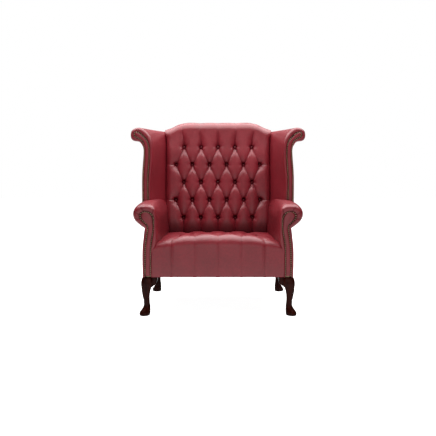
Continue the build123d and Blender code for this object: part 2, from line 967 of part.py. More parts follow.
def seat_cover():
    """Buttoned leather cover of the seat with its padding, carried down as the front apron."""
    cover = seat_block(0, 0, leg_height, seat_rear)
    cover = cover - seat_block(post_face, seat_cover_top, leg_height - overrun, seat_rear)
    for pleat in seat_pleats():
        cover = cover - pleat
    wells = [Pos(x, y, seat_top(x, y) - seat_button_sink) * well() for x, y in seat_button_places()]
    arm = arm_envelope()
    return cover.cut(*wells) - arm - mirrored(arm)


def seat_buttons():
    """The buttons of the seat."""
    return [Pos(x, y, seat_top(x, y) - seat_button_sink) * button() for x, y in seat_button_places()]


def seat_foam():
    """Stuffing on the webbing, under the cover."""
    low = webbing_z + strap_thickness * 2 + gap
    arm = arm_envelope()
    return seat_block(post_face + gap, seat_cover_top + gap, low, seat_rear) - arm - mirrored(arm)


def dust_cover():
    """Thin cloth under the frame, cut round the tops of the legs."""
    inset = skin
    cloth = bar(
        (-half_body + inset, half_body - inset),
        (post_face, body_depth - back_skin),
        (leg_height - sheet, leg_height),
    )
    for leg in legs().values():
        cloth = cloth - leg
    for pin in leg_dowels():
        cloth = cloth - pin
    return cloth


def legs():
    """The four legs, toes turned out to the corners."""
    front = cabriole_leg(front_dowel_y)
    middle = Plane(origin=(0, body_depth / 2, 0), z_dir=(0, 1, 0))
    rear = cabriole_leg(body_depth - rear_dowel_y).mirror(middle)
    return {
        "front_right_leg": front,
        "front_left_leg": mirrored(front),
        "rear_right_leg": rear,
        "rear_left_leg": mirrored(rear),
    }


def leg_dowels():
    """Pins between the legs and the posts."""
    pins = [dowel(front_dowel_y), dowel(rear_dowel_y)]
    return pins + [mirrored(pin) for pin in pins]


def whole():
    """Every sub-part of the loveseat by name."""
    parts = legs()
    sides = {
        "front_post": front_post(),
        "back_post": back_post(),
        "seat_side_rail": side_rail(),
        "tack_rail": tack_rail(),
        "arm_rail": arm_rail(),
        "wing_post": wing_post(),
        "wing_top_rail": wing_top_rail(),
        "inside_arm": inside_arm(),
        "outside_arm": outside_arm(),
        "arm_facing": arm_facing(),
        "inside_wing": inside_wing(),
        "outside_wing": outside_wing(),
        "wing_facing": wing_facing(),
    }
    for name, shape in sides.items():
        parts["right_" + name] = shape
        parts["left_" + name] = mirrored(shape)
    parts["front_seat_rail"] = front_rail()
    parts["back_seat_rail"] = back_seat_rail()
    parts["lower_back_rail"] = lower_back_rail()
    parts["top_back_rail"] = top_back_rail()
    parts["corner_blocks"] = corner_blocks()
    parts["leg_dowels"] = leg_dowels()
    parts["seat_webbing"] = seat_straps()
    parts["back_webbing"] = back_straps()
    parts["seat_foam"] = seat_foam()
    parts["seat_cover"] = seat_cover()
    parts["seat_buttons"] = seat_buttons()
    parts["back_foam"] = back_foam()
    parts["inside_back"] = inside_back()
    parts["back_buttons"] = back_buttons()
    parts["outside_back"] = outside_back()
    parts["dust_cover"] = dust_cover()
    return parts


def write(parts):
    """Writes each sub-part to its own file, moved so that the origin is under the middle."""
    os.makedirs("parts", exist_ok=True)
    groups = {name: shape if isinstance(shape, list) else [shape] for name, shape in parts.items()}
    boxes = [solid.bounding_box() for solids in groups.values() for solid in solids]
    front = min(box.min.Y for box in boxes)
    rear = max(box.max.Y for box in boxes)
    shift = Pos(0, -(front + rear) / 2, 0)
    for name, solids in groups.items():
        export_step(Compound(children=[shift * solid for solid in solids]), f"parts/{name}.step")


write(whole())
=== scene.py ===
"""Looks of a buttoned leather wing loveseat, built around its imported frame.

Shapes are worked out in millimetres with the apron's front face at depth zero, and are placed in
metres in the shared frame. The object faces -Y and its right half is mirrored to the left.
"""

import math

import bpy
import numpy as np
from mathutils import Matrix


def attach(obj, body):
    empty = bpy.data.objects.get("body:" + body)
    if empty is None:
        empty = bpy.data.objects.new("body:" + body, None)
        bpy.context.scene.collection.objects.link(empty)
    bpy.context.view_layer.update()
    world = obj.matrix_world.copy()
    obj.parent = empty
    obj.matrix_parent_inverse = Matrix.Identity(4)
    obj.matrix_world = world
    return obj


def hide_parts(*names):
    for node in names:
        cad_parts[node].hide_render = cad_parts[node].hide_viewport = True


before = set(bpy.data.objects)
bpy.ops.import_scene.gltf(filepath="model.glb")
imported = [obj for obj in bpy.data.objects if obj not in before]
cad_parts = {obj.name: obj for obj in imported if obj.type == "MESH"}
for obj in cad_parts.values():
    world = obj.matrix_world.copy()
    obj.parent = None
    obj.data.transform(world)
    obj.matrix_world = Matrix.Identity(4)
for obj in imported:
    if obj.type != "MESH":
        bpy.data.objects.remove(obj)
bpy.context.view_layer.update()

MM = 0.001
# Depth of the apron's front face in the shared frame
APRON_DEPTH = -378.11
# The outside back is upright up to this point and leans back above it
RAKE = math.radians(14.0)
RAKE_Y, RAKE_Z = 580.0, 324.0
# Depth over which the arms draw in towards the rear
ARM_RUN = 696.0
LEG_HEIGHT = 222.0
FULL_TURN = 6.28
SIDES = ((1, "right"), (-1, "left"))
rng = np.random.default_rng(7)


def add_object(name, data):
    made = bpy.data.objects.new(name, data)
    bpy.context.scene.collection.objects.link(made)
    return made


# Camera, as the photograph sees the object

LENS = 42.76
CAMERA_PLACE = (0.0, -3.2732, 0.8784)
CAMERA_DIP = 0.1090


def add_camera():
    data = bpy.data.cameras.new("camera")
    data.lens = LENS
    data.sensor_width = 36.0
    camera = add_object("camera", data)
    camera.location = CAMERA_PLACE
    camera.rotation_euler = (math.pi / 2 - CAMERA_DIP, 0.0, 0.0)
    bpy.context.scene.camera = camera


# Materials

NOISE = "ShaderNodeTexNoise"
LEATHER_TONES = ((0.3, (0.15, 0.0068, 0.0128)), (0.7, (0.192, 0.0102, 0.018)))
LEATHER_SPECKS = ((0.35, (0.88, 0.86, 0.86)), (0.65, (1.08, 1.1, 1.1)))
# Painted shade: the near-black red that folds, pits, creases and other hollows are darkened towards
PAINTED_SHADE_TONE = (0.035, 0.001, 0.003)
WOOD_WASH = ((0.35, (0.75, 0.7, 0.7)), (0.65, (1.1, 1.1, 1.1)))
BRASS_TONES = ((0.34, (0.075, 0.06, 0.036)), (0.66, (0.4, 0.33, 0.2)))


def new_material(name):
    material = bpy.data.materials.new(name)
    material.use_nodes = True
    tree = material.node_tree
    return material, tree, tree.nodes["Principled BSDF"]


def link(source, target):
    target.id_data.links.new(source, target)


def node(tree, kind, **values):
    made = tree.nodes.new(kind)
    for key, value in values.items():
        if key in made.inputs:
            made.inputs[key].default_value = value
        else:
            setattr(made, key, value)
    return made


def texture(tree, kind, scale, stretch=(1, 1, 1), **values):
    """A procedural texture in object space, its scale given per metre."""
    place = node(tree, "ShaderNodeTexCoord")
    mapping = node(tree, "ShaderNodeMapping")
    mapping.inputs["Scale"].default_value = stretch
    made = node(tree, kind, Scale=scale, **values)
    link(place.outputs["Object"], mapping.inputs["Vector"])
    link(mapping.outputs["Vector"], made.inputs["Vector"])
    return made


def ramp(tree, source, stops):
    made = tree.nodes.new("ShaderNodeValToRGB")
    while len(made.color_ramp.elements) < len(stops):
        made.color_ramp.elements.new(0.5)
    for element, (position, colour) in zip(made.color_ramp.elements, stops):
        element.position = position
        element.color = (*colour, 1.0)
    link(source, made.inputs["Fac"])
    return made.outputs["Color"]


def blended(tree, mode, amount, first, second):
    made = node(tree, "ShaderNodeMix", data_type="RGBA", blend_type=mode)
    if isinstance(amount, float):
        made.inputs["Factor"].default_value = amount
    else:
        link(amount, made.inputs["Factor"])
    for index, value in ((6, first), (7, second)):
        if isinstance(value, tuple):
            made.inputs[index].default_value = (*value, 1.0)
        else:
            link(value, made.inputs[index])
    return made.outputs[2]


def mapped(tree, source, low, high):
    made = node(tree, "ShaderNodeMapRange")
    made.inputs["To Min"].default_value = low
    made.inputs["To Max"].default_value = high
    link(source, made.inputs["Value"])
    return made.outputs["Result"]


def bump(tree, shader, heights, distance, strength=1.0):
    """Adds several height sources, each with its own weight, and bumps the surface with them."""
    total = None
    for source, weight in heights:
        scaled = node(tree, "ShaderNodeMath", operation="MULTIPLY")
        scaled.inputs[1].default_value = weight
        link(source, scaled.inputs[0])
        if total is None:
            total = scaled.outputs[0]
        else:
            added = node(tree, "ShaderNodeMath", operation="ADD")
            link(total, added.inputs[0])
            link(scaled.outputs[0], added.inputs[1])
            total = added.outputs[0]
    made = node(tree, "ShaderNodeBump", Strength=strength, Distance=distance)
    link(total, made.inputs["Height"])
    link(made.outputs["Normal"], shader.inputs["Normal"])


def leather_material():
    """Fine grained hide. Where a mesh carries painted shade, in its folds, pits, creases and other hollows,
    the hide is painted darker and reflects less.
    """
    material, tree, shader = new_material("oxblood_leather")
    cloud = texture(tree, NOISE, 7.0, Detail=4.0, Roughness=0.6)
    mottle = texture(tree, NOISE, 90.0, Detail=3.0, Roughness=0.6)
    grain = texture(tree, "ShaderNodeTexVoronoi", 420.0, feature="SMOOTH_F1", Smoothness=0.4, Randomness=1.0)
    crease = texture(tree, NOISE, 170.0, Detail=5.0, Roughness=0.65, Distortion=0.6)
    tone = ramp(tree, cloud.outputs["Fac"], LEATHER_TONES)
    speck = ramp(tree, mottle.outputs["Fac"], LEATHER_SPECKS)
    colour = blended(tree, "MULTIPLY", 1.0, tone, speck)
    painted_shade = node(tree, "ShaderNodeAttribute", attribute_name="painted_shade").outputs["Fac"]
    # Painted shade: the colour is darkened, and below it the reflection lowered, where the mesh marks shade
    colour = blended(tree, "MIX", mapped(tree, painted_shade, 0.0, 0.92), colour, PAINTED_SHADE_TONE)
    link(colour, shader.inputs["Base Color"])
    link(mapped(tree, mottle.outputs["Fac"], 0.33, 0.47), shader.inputs["Roughness"])
    link(mapped(tree, painted_shade, 0.42, 0.08), shader.inputs["Specular IOR Level"])
    heights = ((grain.outputs["Distance"], 0.8), (crease.outputs["Fac"], 0.9), (mottle.outputs["Fac"], 0.6))
    bump(tree, shader, heights, 0.0007, 0.55)
    return material


def wood_material(name, dark, light, roughness, shine):
    material, tree, shader = new_material(name)
    bend = texture(tree, NOISE, 6.0, stretch=(1, 1, 0.3), Detail=3.0)
    grain = texture(tree, NOISE, 60.0, stretch=(1, 1, 0.06), Detail=8.0, Roughness=0.65, Distortion=0.8)
    pores = texture(tree, NOISE, 420.0, stretch=(1, 1, 0.05), Detail=4.0)
    fibre = grain.outputs["Fac"]
    base = ramp(tree, fibre, ((0.35, dark), (0.68, light)))
    wash = ramp(tree, bend.outputs["Fac"], WOOD_WASH)
    link(blended(tree, "MULTIPLY", 1.0, base, wash), shader.inputs["Base Color"])
    link(mapped(tree, fibre, roughness - 0.06, roughness + 0.1), shader.inputs["Roughness"])
    shader.inputs["Specular IOR Level"].default_value = shine
    bump(tree, shader, ((fibre, 1.0), (pores.outputs["Fac"], 0.7)), 0.0003, 0.4)
    return material


def brass_material():
    material, tree, shader = new_material("antique_brass")
    patina = texture(tree, NOISE, 260.0, Detail=5.0, Roughness=0.7).outputs["Fac"]
    link(ramp(tree, patina, BRASS_TONES), shader.inputs["Base Color"])
    link(mapped(tree, patina, 0.5, 0.28), shader.inputs["Roughness"])
    shader.inputs["Metallic"].default_value = 0.9
    bump(tree, shader, ((patina, 1.0),), 0.0003, 0.5)
    return material


def weave_material(name, dark, light, pitch):
    """Plain weave whose threads are one pitch apart, in metres."""
    material, tree, shader = new_material(name)
    scale = 1.0 / pitch / 3.1
    threads = {"Distortion": 0.3, "Detail": 1.0}
    warp = texture(tree, "ShaderNodeTexWave", scale, bands_direction="X", **threads)
    weft = texture(tree, "ShaderNodeTexWave", scale, bands_direction="Y", **threads)
    cloud = texture(tree, NOISE, 40.0, Detail=5.0)
    cross = blended(tree, "MULTIPLY", 1.0, warp.outputs["Color"], weft.outputs["Color"])
    tone = ramp(tree, cloud.outputs["Fac"], ((0.3, dark), (0.7, light)))
    link(blended(tree, "OVERLAY", 0.35, tone, cross), shader.inputs["Base Color"])
    shader.inputs["Roughness"].default_value = 0.92
    shader.inputs["Specular IOR Level"].default_value = 0.2
    bump(tree, shader, ((warp.outputs["Fac"], 1.0), (weft.outputs["Fac"], 1.0)), 0.0004, 0.7)
    return material


LEATHER = leather_material()
MAHOGANY = wood_material("mahogany", (0.008, 0.0008, 0.0003), (0.03, 0.0035, 0.0012), 0.26, 0.06)
BEECH = wood_material("beech", (0.45, 0.3, 0.18), (0.66, 0.49, 0.32), 0.6, 0.25)
BRASS = brass_material()
WEBBING = weave_material("webbing", (0.32, 0.25, 0.15), (0.46, 0.38, 0.25), 0.004)
BLACK_CLOTH = weave_material("black_cloth", (0.02, 0.02, 0.02), (0.045, 0.043, 0.04), 0.0015)


# Mesh helpers

def rows(*points):
    return np.array(points, float)


def smooth_line(points, count):
    """Evenly spaced points on a smooth line through the given ones, in any number of dimensions."""
    p = np.asarray(points, float)
    h = np.maximum(np.linalg.norm(np.diff(p, axis=0), axis=1), 1e-6)
    slope = np.diff(p, axis=0) / h[:, None]
    tangent = np.empty_like(p)
    tangent[1:-1] = (slope[:-1] * h[1:, None] + slope[1:] * h[:-1, None]) / (h[1:] + h[:-1])[:, None]
    tangent[0], tangent[-1] = slope[0], slope[-1]
    t = np.linspace(0, 1, 16, endpoint=False)[:, None]
    fine = []
    for i in range(len(p) - 1):
        a = (2 * t**3 - 3 * t**2 + 1) * p[i] + (t**3 - 2 * t**2 + t) * h[i] * tangent[i]
        b = (-2 * t**3 + 3 * t**2) * p[i + 1] + (t**3 - t**2) * h[i] * tangent[i + 1]
        fine.append(a + b)
    return even_line(np.vstack([*fine, p[-1:]]), count)


def even_line(points, count):
    """Evenly spaced points on a straight-sided line."""
    step = np.linalg.norm(np.diff(points, axis=0), axis=1)
    run = np.concatenate([[0], np.cumsum(step)])
    at = np.linspace(0, run[-1], count)
    return np.stack([np.interp(at, run, points[:, k]) for k in range(points.shape[1])], axis=1)


def line_length(points):
    return float(np.linalg.norm(np.diff(points, axis=0), axis=1).sum())


def ease(low, high, value):
    t = np.clip((np.asarray(value, float) - low) / (high - low), 0, 1)
    return t * t * (3 - 2 * t)


def raked_points(x, u, w):
    """Points of the raked back: across, up its plane and out of it."""
    y = RAKE_Y + u * math.sin(RAKE) - w * math.cos(RAKE)
    z = RAKE_Z + u * math.cos(RAKE) + w * math.sin(RAKE)
    return np.stack([x, y, z], axis=-1)


def rake_depth(z, proud):
    """Depth of the plane that stands proud of the outside back, upright at the base and then raked."""
    z = np.asarray(z, float)
    raked = RAKE_Y + (z - RAKE_Z) * math.tan(RAKE) - proud / math.cos(RAKE)
    return np.maximum(raked, RAKE_Y - proud)


def outward(verts, faces):
    """Faces turned so that the solid they close has a positive volume."""
    total = 0.0
    for face in faces:
        a = verts[face[0]]
        for i in range(1, len(face) - 1):
            total += float(np.dot(a, np.cross(verts[face[i]], verts[face[i + 1]])))
    return [face[::-1] for face in faces] if total < 0 else faces


def grid_faces(count_a, count_b, wrap_a, wrap_b, start=0):
    a = np.arange(count_a if wrap_a else count_a - 1)
    b = np.arange(count_b if wrap_b else count_b - 1)
    a, b = np.meshgrid(a, b, indexing="ij")
    na, nb = (a + 1) % count_a, (b + 1) % count_b
    quads = np.stack([a * count_b + b, na * count_b + b, na * count_b + nb, a * count_b + nb], axis=-1)
    return (quads.reshape(-1, 4) + start).tolist()


def tube(rings):
    """Closed solid through rings of equal count: quads between them and a face on each end."""
    count, n = rings.shape[:2]
    faces = grid_faces(count, n, False, True)
    faces.append(list(range(n)))
    faces.append([(count - 1) * n + i for i in range(n)][::-1])
    return rings.reshape(-1, 3), faces


def closed_form(seen, hidden, painted_shade):
    """Solid through rings that cross the seen side and come back hidden, with its painted shade values."""
    painted_shades = np.concatenate([painted_shade, np.zeros(hidden.shape[:2])], axis=1)
    return tube(np.concatenate([seen, hidden], axis=1)), painted_shades.ravel()


def dome(profile, count, radius, height, wave=0.0):
    """Closed dome. Each row of its profile is a share of the radius and of the height."""
    angle = np.arange(count) * 2 * math.pi / count
    verts = [[0.0, 0.0, height]]
    for share, level in profile:
        for a, k in zip(angle, 1 + wave * np.sin(angle * 5 + share * 3) * share):
            verts.append([math.cos(a) * radius * share * k, math.sin(a) * radius * share * k, level * height])
    faces = [[0, 1 + i, 1 + (i + 1) % count] for i in range(count)]
    faces += grid_faces(len(profile), count, False, True, 1)
    last = 1 + (len(profile) - 1) * count
    faces.append([last + i for i in range(count)][::-1])
    verts = np.array(verts)
    return verts, outward(verts, faces)


def set_on(shape, centre, normal):
    """Turns a small part from +Z to a surface normal, gives it a random spin and moves it there."""
    verts, faces = shape
    spin = float(rng.uniform(0, FULL_TURN))
    n = np.asarray(normal, float)
    n = n / np.linalg.norm(n)
    helper = np.array([1.0, 0, 0]) if abs(n[0]) < 0.9 else np.array([0, 0, 1.0])
    a = np.cross(helper, n)
    a /= np.linalg.norm(a)
    b = np.cross(n, a)
    a, b = a * math.cos(spin) + b * math.sin(spin), b * math.cos(spin) - a * math.sin(spin)
    return verts @ np.stack([a, b, n]) + np.asarray(centre, float), faces


def joined(parts):
    """Several verts and faces as one."""
    verts, faces, start = [], [], 0
    for part_verts, part_faces in parts:
        verts.append(part_verts)
        faces.extend([[i + start for i in face] for face in part_faces])
        start += len(part_verts)
    return np.vstack(verts), faces


def new_mesh(name, verts, faces, material):
    """Smooth mesh from points in millimetres."""
    mesh = bpy.data.meshes.new(name)
    mesh.from_pydata(((verts + np.array([0, APRON_DEPTH, 0])) * MM).tolist(), [], faces)
    mesh.update()
    mesh.shade_smooth()
    mesh.materials.append(material)
    return mesh


def build(name, shape, material, stands_for=(), painted_shade=None, side=1):
    """Adds one piece, mirrored to the left where side is -1, and hides the frame parts that it stands for.

    Its painted shade values are one number, or one for each point.
    """
    verts = np.array(shape[0], float)
    if side < 0:
        verts[:, 0] *= -1
    mesh = new_mesh(name, verts, outward(verts, shape[1]), material)
    # Painted shade, kept on the mesh for the leather to darken
    if painted_shade is not None:
        attribute = mesh.attributes.new("painted_shade", "FLOAT", "POINT")
        attribute.data.foreach_set("value", np.full(len(verts), painted_shade, np.float32))
    piece = add_object(name, mesh)
    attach(piece, "root")
    if stands_for:
        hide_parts(*stands_for)


def leather(name, shape, painted_shade, stands_for, side=1, padded=None):
    build(name, shape, LEATHER, stands_for, painted_shade, side)


# Deep buttoning

PIT_RADIUS = 12.0
CREASE_WIDTH = 2.8
BUTTON_RADIUS = 10.0
BUTTON_PROFILE = (
    (0.3, 0.96), (0.55, 0.84), (0.78, 0.6), (0.93, 0.28), (1.0, -0.1), (0.95, -0.6), (0.7, -0.9),
)


def pleat_field(x, s, pleats, sharp=5.0):
    """Distance to the nearest pleat, and how deep the pleats are there, both blended smoothly."""
    total = np.zeros_like(x)
    depth = np.zeros_like(x)
    for x0, s0, x1, s1, depth0, depth1, shallow in pleats:
        dx, ds = x1 - x0, s1 - s0
        t = np.clip(((x - x0) * dx + (s - s0) * ds) / (dx * dx + ds * ds), 0, 1)
        d = np.hypot(x - x0 - t * dx, s - s0 - t * ds)
        weight = (d + 0.4) ** -sharp
        total += weight
        depth += weight * (depth0 + (depth1 - depth0) * t) * (1 - shallow * np.sin(math.pi * t))
    return total ** (-1 / sharp), depth / total


def button_distance(x, s, places):
    near = np.full_like(x, 1e9)
    for px, ps in places:
        near = np.minimum(near, np.hypot(x - px, s - ps))
    return near


def puckers(x, s, places, reach):
    """Small ridges that run out from each button."""
    total = np.zeros_like(x)
    for px, ps in places:
        dx, ds = x - px, s - ps
        r = np.hypot(dx, ds)
        angle = np.arctan2(ds, dx)
        waves = np.sin(angle * int(rng.integers(7, 10)) + rng.uniform(0, FULL_TURN))
        waves += 0.6 * np.sin(angle * int(rng.integers(11, 15)) + rng.uniform(0, FULL_TURN))
        total += waves * np.exp(-((r - reach * 0.45) / (reach * 0.35)) ** 2)
    return total


def pillow(share, tight=0.5):
    """Rise from a pleat to the top of its pillow: part round, part taut."""
    q = np.clip(share, 0, 1)
    return (1 - tight) * np.sqrt(1 - (1 - q) ** 2) + tight * np.sin(q * math.pi / 2) ** 1.1


def diamond_pleats(row_list, shallow):
    """Pleats from each button to its neighbours in the next row."""
    pleats = []
    for lower, upper in zip(row_list, row_list[1:]):
        reach = abs(abs(lower[1][0] - lower[0][0]) / 2)
        for x0, s0 in lower:
            for x1, s1 in upper:
                if abs(x1 - x0) < reach * 1.2:
                    pleats.append((x0, s0, x1, s1, 1.0, 1.0, shallow))
    return pleats


def buttoning(x, s, pleats, buttons, radius):
    """Fullness of the pillows, pits under the buttons, pleat lines, pleat depth, and distance to a button."""
    distance, depth = pleat_field(x, s, pleats)
    near = button_distance(x, s, buttons)
    fullness = (1 - depth * (1 - pillow(distance / radius))) * ease(2, 17, near)
    pit = np.exp(-(near / PIT_RADIUS) ** 2)
    line = np.exp(-(distance / CREASE_WIDTH) ** 2)
    return fullness, pit, line, depth, near


def covered_button(height):
    """A dome with a tucked edge and a few small creases."""
    return dome(BUTTON_PROFILE, 20, BUTTON_RADIUS, height, 0.02)


# Back. Along the pad, s is the way up its face and on over the crest.

BACK_ROWS = []
for i in range(5):
    xs = (-230, -115, 0, 115, 230) if i % 2 == 0 else (-284, -173, -57.5, 57.5, 173, 284)
    BACK_ROWS.append([(x, 169.0 + 121.0 * i) for x in xs])
BACK_TOP = rows((0, 1144), (120, 1143.5), (218, 1143), (238, 1140.5), (261, 1132.5), (282, 1122), (302, 1111),
                (330, 1100.5), (358, 1094))
BACK_DEPTH = 31.0
BACK_PROUD = 90.0
BACK_REAR = 6.0
BACK_LOW = 36.0
BACK_SIDE = 353.0
# Width over which the sides of the pad fall away, and by how much
BACK_SHOULDER, BACK_SIDE_FALL = 42.0, 30.0
# The crest: its height, where it ends at the rear, and the way that the pleats take over it
BACK_ROLL = 66.0
CREST_REAR = BACK_REAR + 6.0
CREST_WAY = 75.0


def back_pleats():
    pleats = diamond_pleats(BACK_ROWS, 0.66)
    for x, s in BACK_ROWS[-1]:
        pleats.append((x, s, x * 1.026, 760.0, 1.0, 0.22, 0.1))
        pleats.append((x * 1.026, 760.0, x * 1.035, 1000.0, 0.2, 0.12, 0.0))
    for x, s in BACK_ROWS[0]:
        pleats.append((x, s, x, 0.0, 1.0, 0.4, 0.5))
    for row in (BACK_ROWS[1], BACK_ROWS[3]):
        for x, s in (row[0], row[-1]):
            pleats.append((x, s, math.copysign(BACK_SIDE + 20, x), s, 0.9, 0.05, 0.7))
    return pleats


def back_piece():
    columns, face_rows, roll_rows, rear_rows = 281, 300, 44, 8
    x_line = np.linspace(-BACK_SIDE, BACK_SIDE, columns)[:, None]
    z_top = np.interp(np.abs(x_line), *smooth_line(BACK_TOP, 200).T)
    # The crest is a quarter round from the face to the rear
    crest_run = BACK_PROUD - CREST_REAR
    turn = np.linspace(0, math.pi / 2, 181)
    lift = BACK_ROLL * np.sin(turn) * math.cos(RAKE)
    lift += (CREST_REAR + crest_run * np.cos(turn)) * math.sin(RAKE)
    roll_base = (z_top - RAKE_Z - lift.max()) / math.cos(RAKE)
    u = BACK_LOW + (roll_base - BACK_LOW) * np.linspace(0, 1, face_rows)
    roll = np.linspace(0, math.pi / 2, roll_rows)[1:]
    s = np.concatenate([u, roll_base + CREST_WAY * roll], axis=1)
    x = np.repeat(x_line, s.shape[1], axis=1)

    buttons = [place for row in BACK_ROWS for place in row]
    fullness, pit, line, depth, near = buttoning(x, s, back_pleats(), buttons, 47.0)
    crease = line * np.clip(depth, 0.25, 0.8)
    side = np.clip((np.abs(x) - (BACK_SIDE - BACK_SHOULDER)) / BACK_SHOULDER, 0, 1)
    side_fall = BACK_SIDE_FALL * (1 - np.sqrt(1 - 0.98 * side**2))
    side_fall *= 1 - 0.75 * ease(700, 800, s)
    ridge = puckers(x, s, buttons, 42.0) * 0.3
    sink = BACK_DEPTH * (1 - fullness) + 5.0 * pit + side_fall - ridge * (1 - pit) + 3.2 * crease
    sink += 30.0 * (1 - ease(20, 165, s))
    lean = 5.0 * ease(590, 720, s)
    # Painted shade: darker in the pleat valleys, the button pits and the creases, half as much over the
    # crest, and in a band along the bottom of the back above the seat
    painted_shade = np.clip((1 - fullness) ** 3 * 1.1 + pit * 0.9 + crease * 0.7, 0, 1)
    painted_shade = np.clip(painted_shade * (1 - 0.5 * ease(720, 800, s)) + 0.8 * (1 - ease(50, 175, s)), 0, 1)

    # The lower edge of each pillow hangs a little over the pleat below it
    sag = 11.0 * (1 - fullness) * fullness * 4 * ease(90, 200, s) * (1 - ease(600, 650, s))
    sag *= ease(8, 34, near)
    # Above the wings the pad is a little wider
    wide = x * (1 + 0.036 * ease(690, 760, s))
    face, crest = np.s_[:, :face_rows], np.s_[:, face_rows:]
    w_crest = CREST_REAR + (crest_run - (sink + lean)[crest]) * np.cos(roll)
    u_crest = roll_base + (BACK_ROLL - sink[crest] * 0.6) * np.sin(roll)
    grid = np.concatenate([
        raked_points(wide[face], u - sag[face], BACK_PROUD - (sink + lean)[face]),
        raked_points(wide[crest], u_crest, w_crest),
    ], axis=1)
    # Rear of the pad, hidden by the outside back, closes the form
    rear_u = BACK_LOW + (roll_base - BACK_LOW) * np.linspace(1, 0, rear_rows)[1:]
    rear = raked_points(np.repeat(x_line, rear_rows - 1, axis=1), rear_u, np.full(rear_u.shape, BACK_REAR))
    leather("tufted_back", *closed_form(grid, rear, painted_shade), ("inside_back", "back_foam"), padded=0.85)

    normal = (0, -math.cos(RAKE), math.sin(RAKE))
    level = BACK_PROUD - BACK_DEPTH + 0.5
    studs = [set_on(covered_button(6.0), raked_points(px, ps, level), normal) for px, ps in buttons]
    # Painted shade on the buttons, which sit deep in their pits
    leather("back_studs", joined(studs), 0.62, ("back_buttons",))


# Seat. Here s is the way up the apron, over the roll and on to the rear.

SEAT_HALF = 373.0
SEAT_ROLL = 68.0
SEAT_CREST = 462.0
SEAT_SIDE, SEAT_SIDE_REAR = 403.0, 404.0
SEAT_REAR_Y, SEAT_REAR_Z = 506.0, 418.0
SEAT_DEPTH = 30.0
SEAT_UNDER = rows((500, 330), (500, 302), (300, 302), (45, 302), (14, 300), (9, 260), (8, LEG_HEIGHT + 1))
APRON_RUN = SEAT_CREST - SEAT_ROLL - LEG_HEIGHT
ROLL_RUN = SEAT_ROLL * math.pi / 2
TOP_START = APRON_RUN + ROLL_RUN
TOP_END = TOP_START + SEAT_REAR_Y - SEAT_ROLL
SEAT_ROWS = []
for i in range(4):
    xs = (-266, -134, 0, 134, 266) if i % 2 == 0 else (-201, -67, 67, 201)
    SEAT_ROWS.append([(x, TOP_START + 24.0 + 117.0 * i) for x in xs])


def seat_surface(x, s):
    """The crowned seat without its buttoning: up the apron, over the roll and back to the rear."""
    crown = 1 - np.abs(x / SEAT_HALF) ** 3.0
    radius = SEAT_ROLL * (0.38 + 0.62 * crown)

    def height(y):
        back = np.clip((y - SEAT_ROLL) / (SEAT_REAR_Y - SEAT_ROLL), 0, 1)
        middle = SEAT_CREST + (SEAT_REAR_Z - SEAT_CREST) * back
        side = SEAT_SIDE + (SEAT_SIDE_REAR - SEAT_SIDE) * back
        return side + (middle - side) * crown

    start = height(radius) - radius
    rise = np.clip(s / APRON_RUN, 0, 1)
    turn = np.clip((s - APRON_RUN) / ROLL_RUN, 0, 1) * math.pi / 2
    back = np.clip((s - APRON_RUN - ROLL_RUN) / (SEAT_REAR_Y - SEAT_ROLL), 0, 1)
    y = radius * (1 - np.cos(turn)) + back * (SEAT_REAR_Y - radius)
    z = LEG_HEIGHT + rise * (start - LEG_HEIGHT) + radius * np.sin(turn)
    z = np.where(back > 0, height(y), z)
    y = y - 3.0 * np.sin(math.pi * rise) * (turn <= 0)
    return np.stack([x, y, z], axis=-1)


def seat_pleats():
    pleats = diamond_pleats(SEAT_ROWS, 0.35)
    for x, s in SEAT_ROWS[0]:
        strong = 2.2 if abs(x) > 200 else 1.0
        pleats.append((x, s, x, TOP_START - 4, 1.0, 0.26, 0.3))
        pleats.append((x, TOP_START - 4, x, APRON_RUN + 46, 0.26, 0.09 * strong, 0.3))
        pleats.append((x, APRON_RUN + 52, x, 0.0, 0.09 * strong, 0.05 * strong, 0.0))
    for x, s in SEAT_ROWS[-1]:
        pleats.append((x, s, x, TOP_END + 40, 1.0, 0.6, 0.3))
    for row in SEAT_ROWS[1::2]:
        for x, s in (row[0], row[-1]):
            pleats.append((x, s, math.copysign(400, x), s, 1.0, 0.3, 0.3))
    return pleats


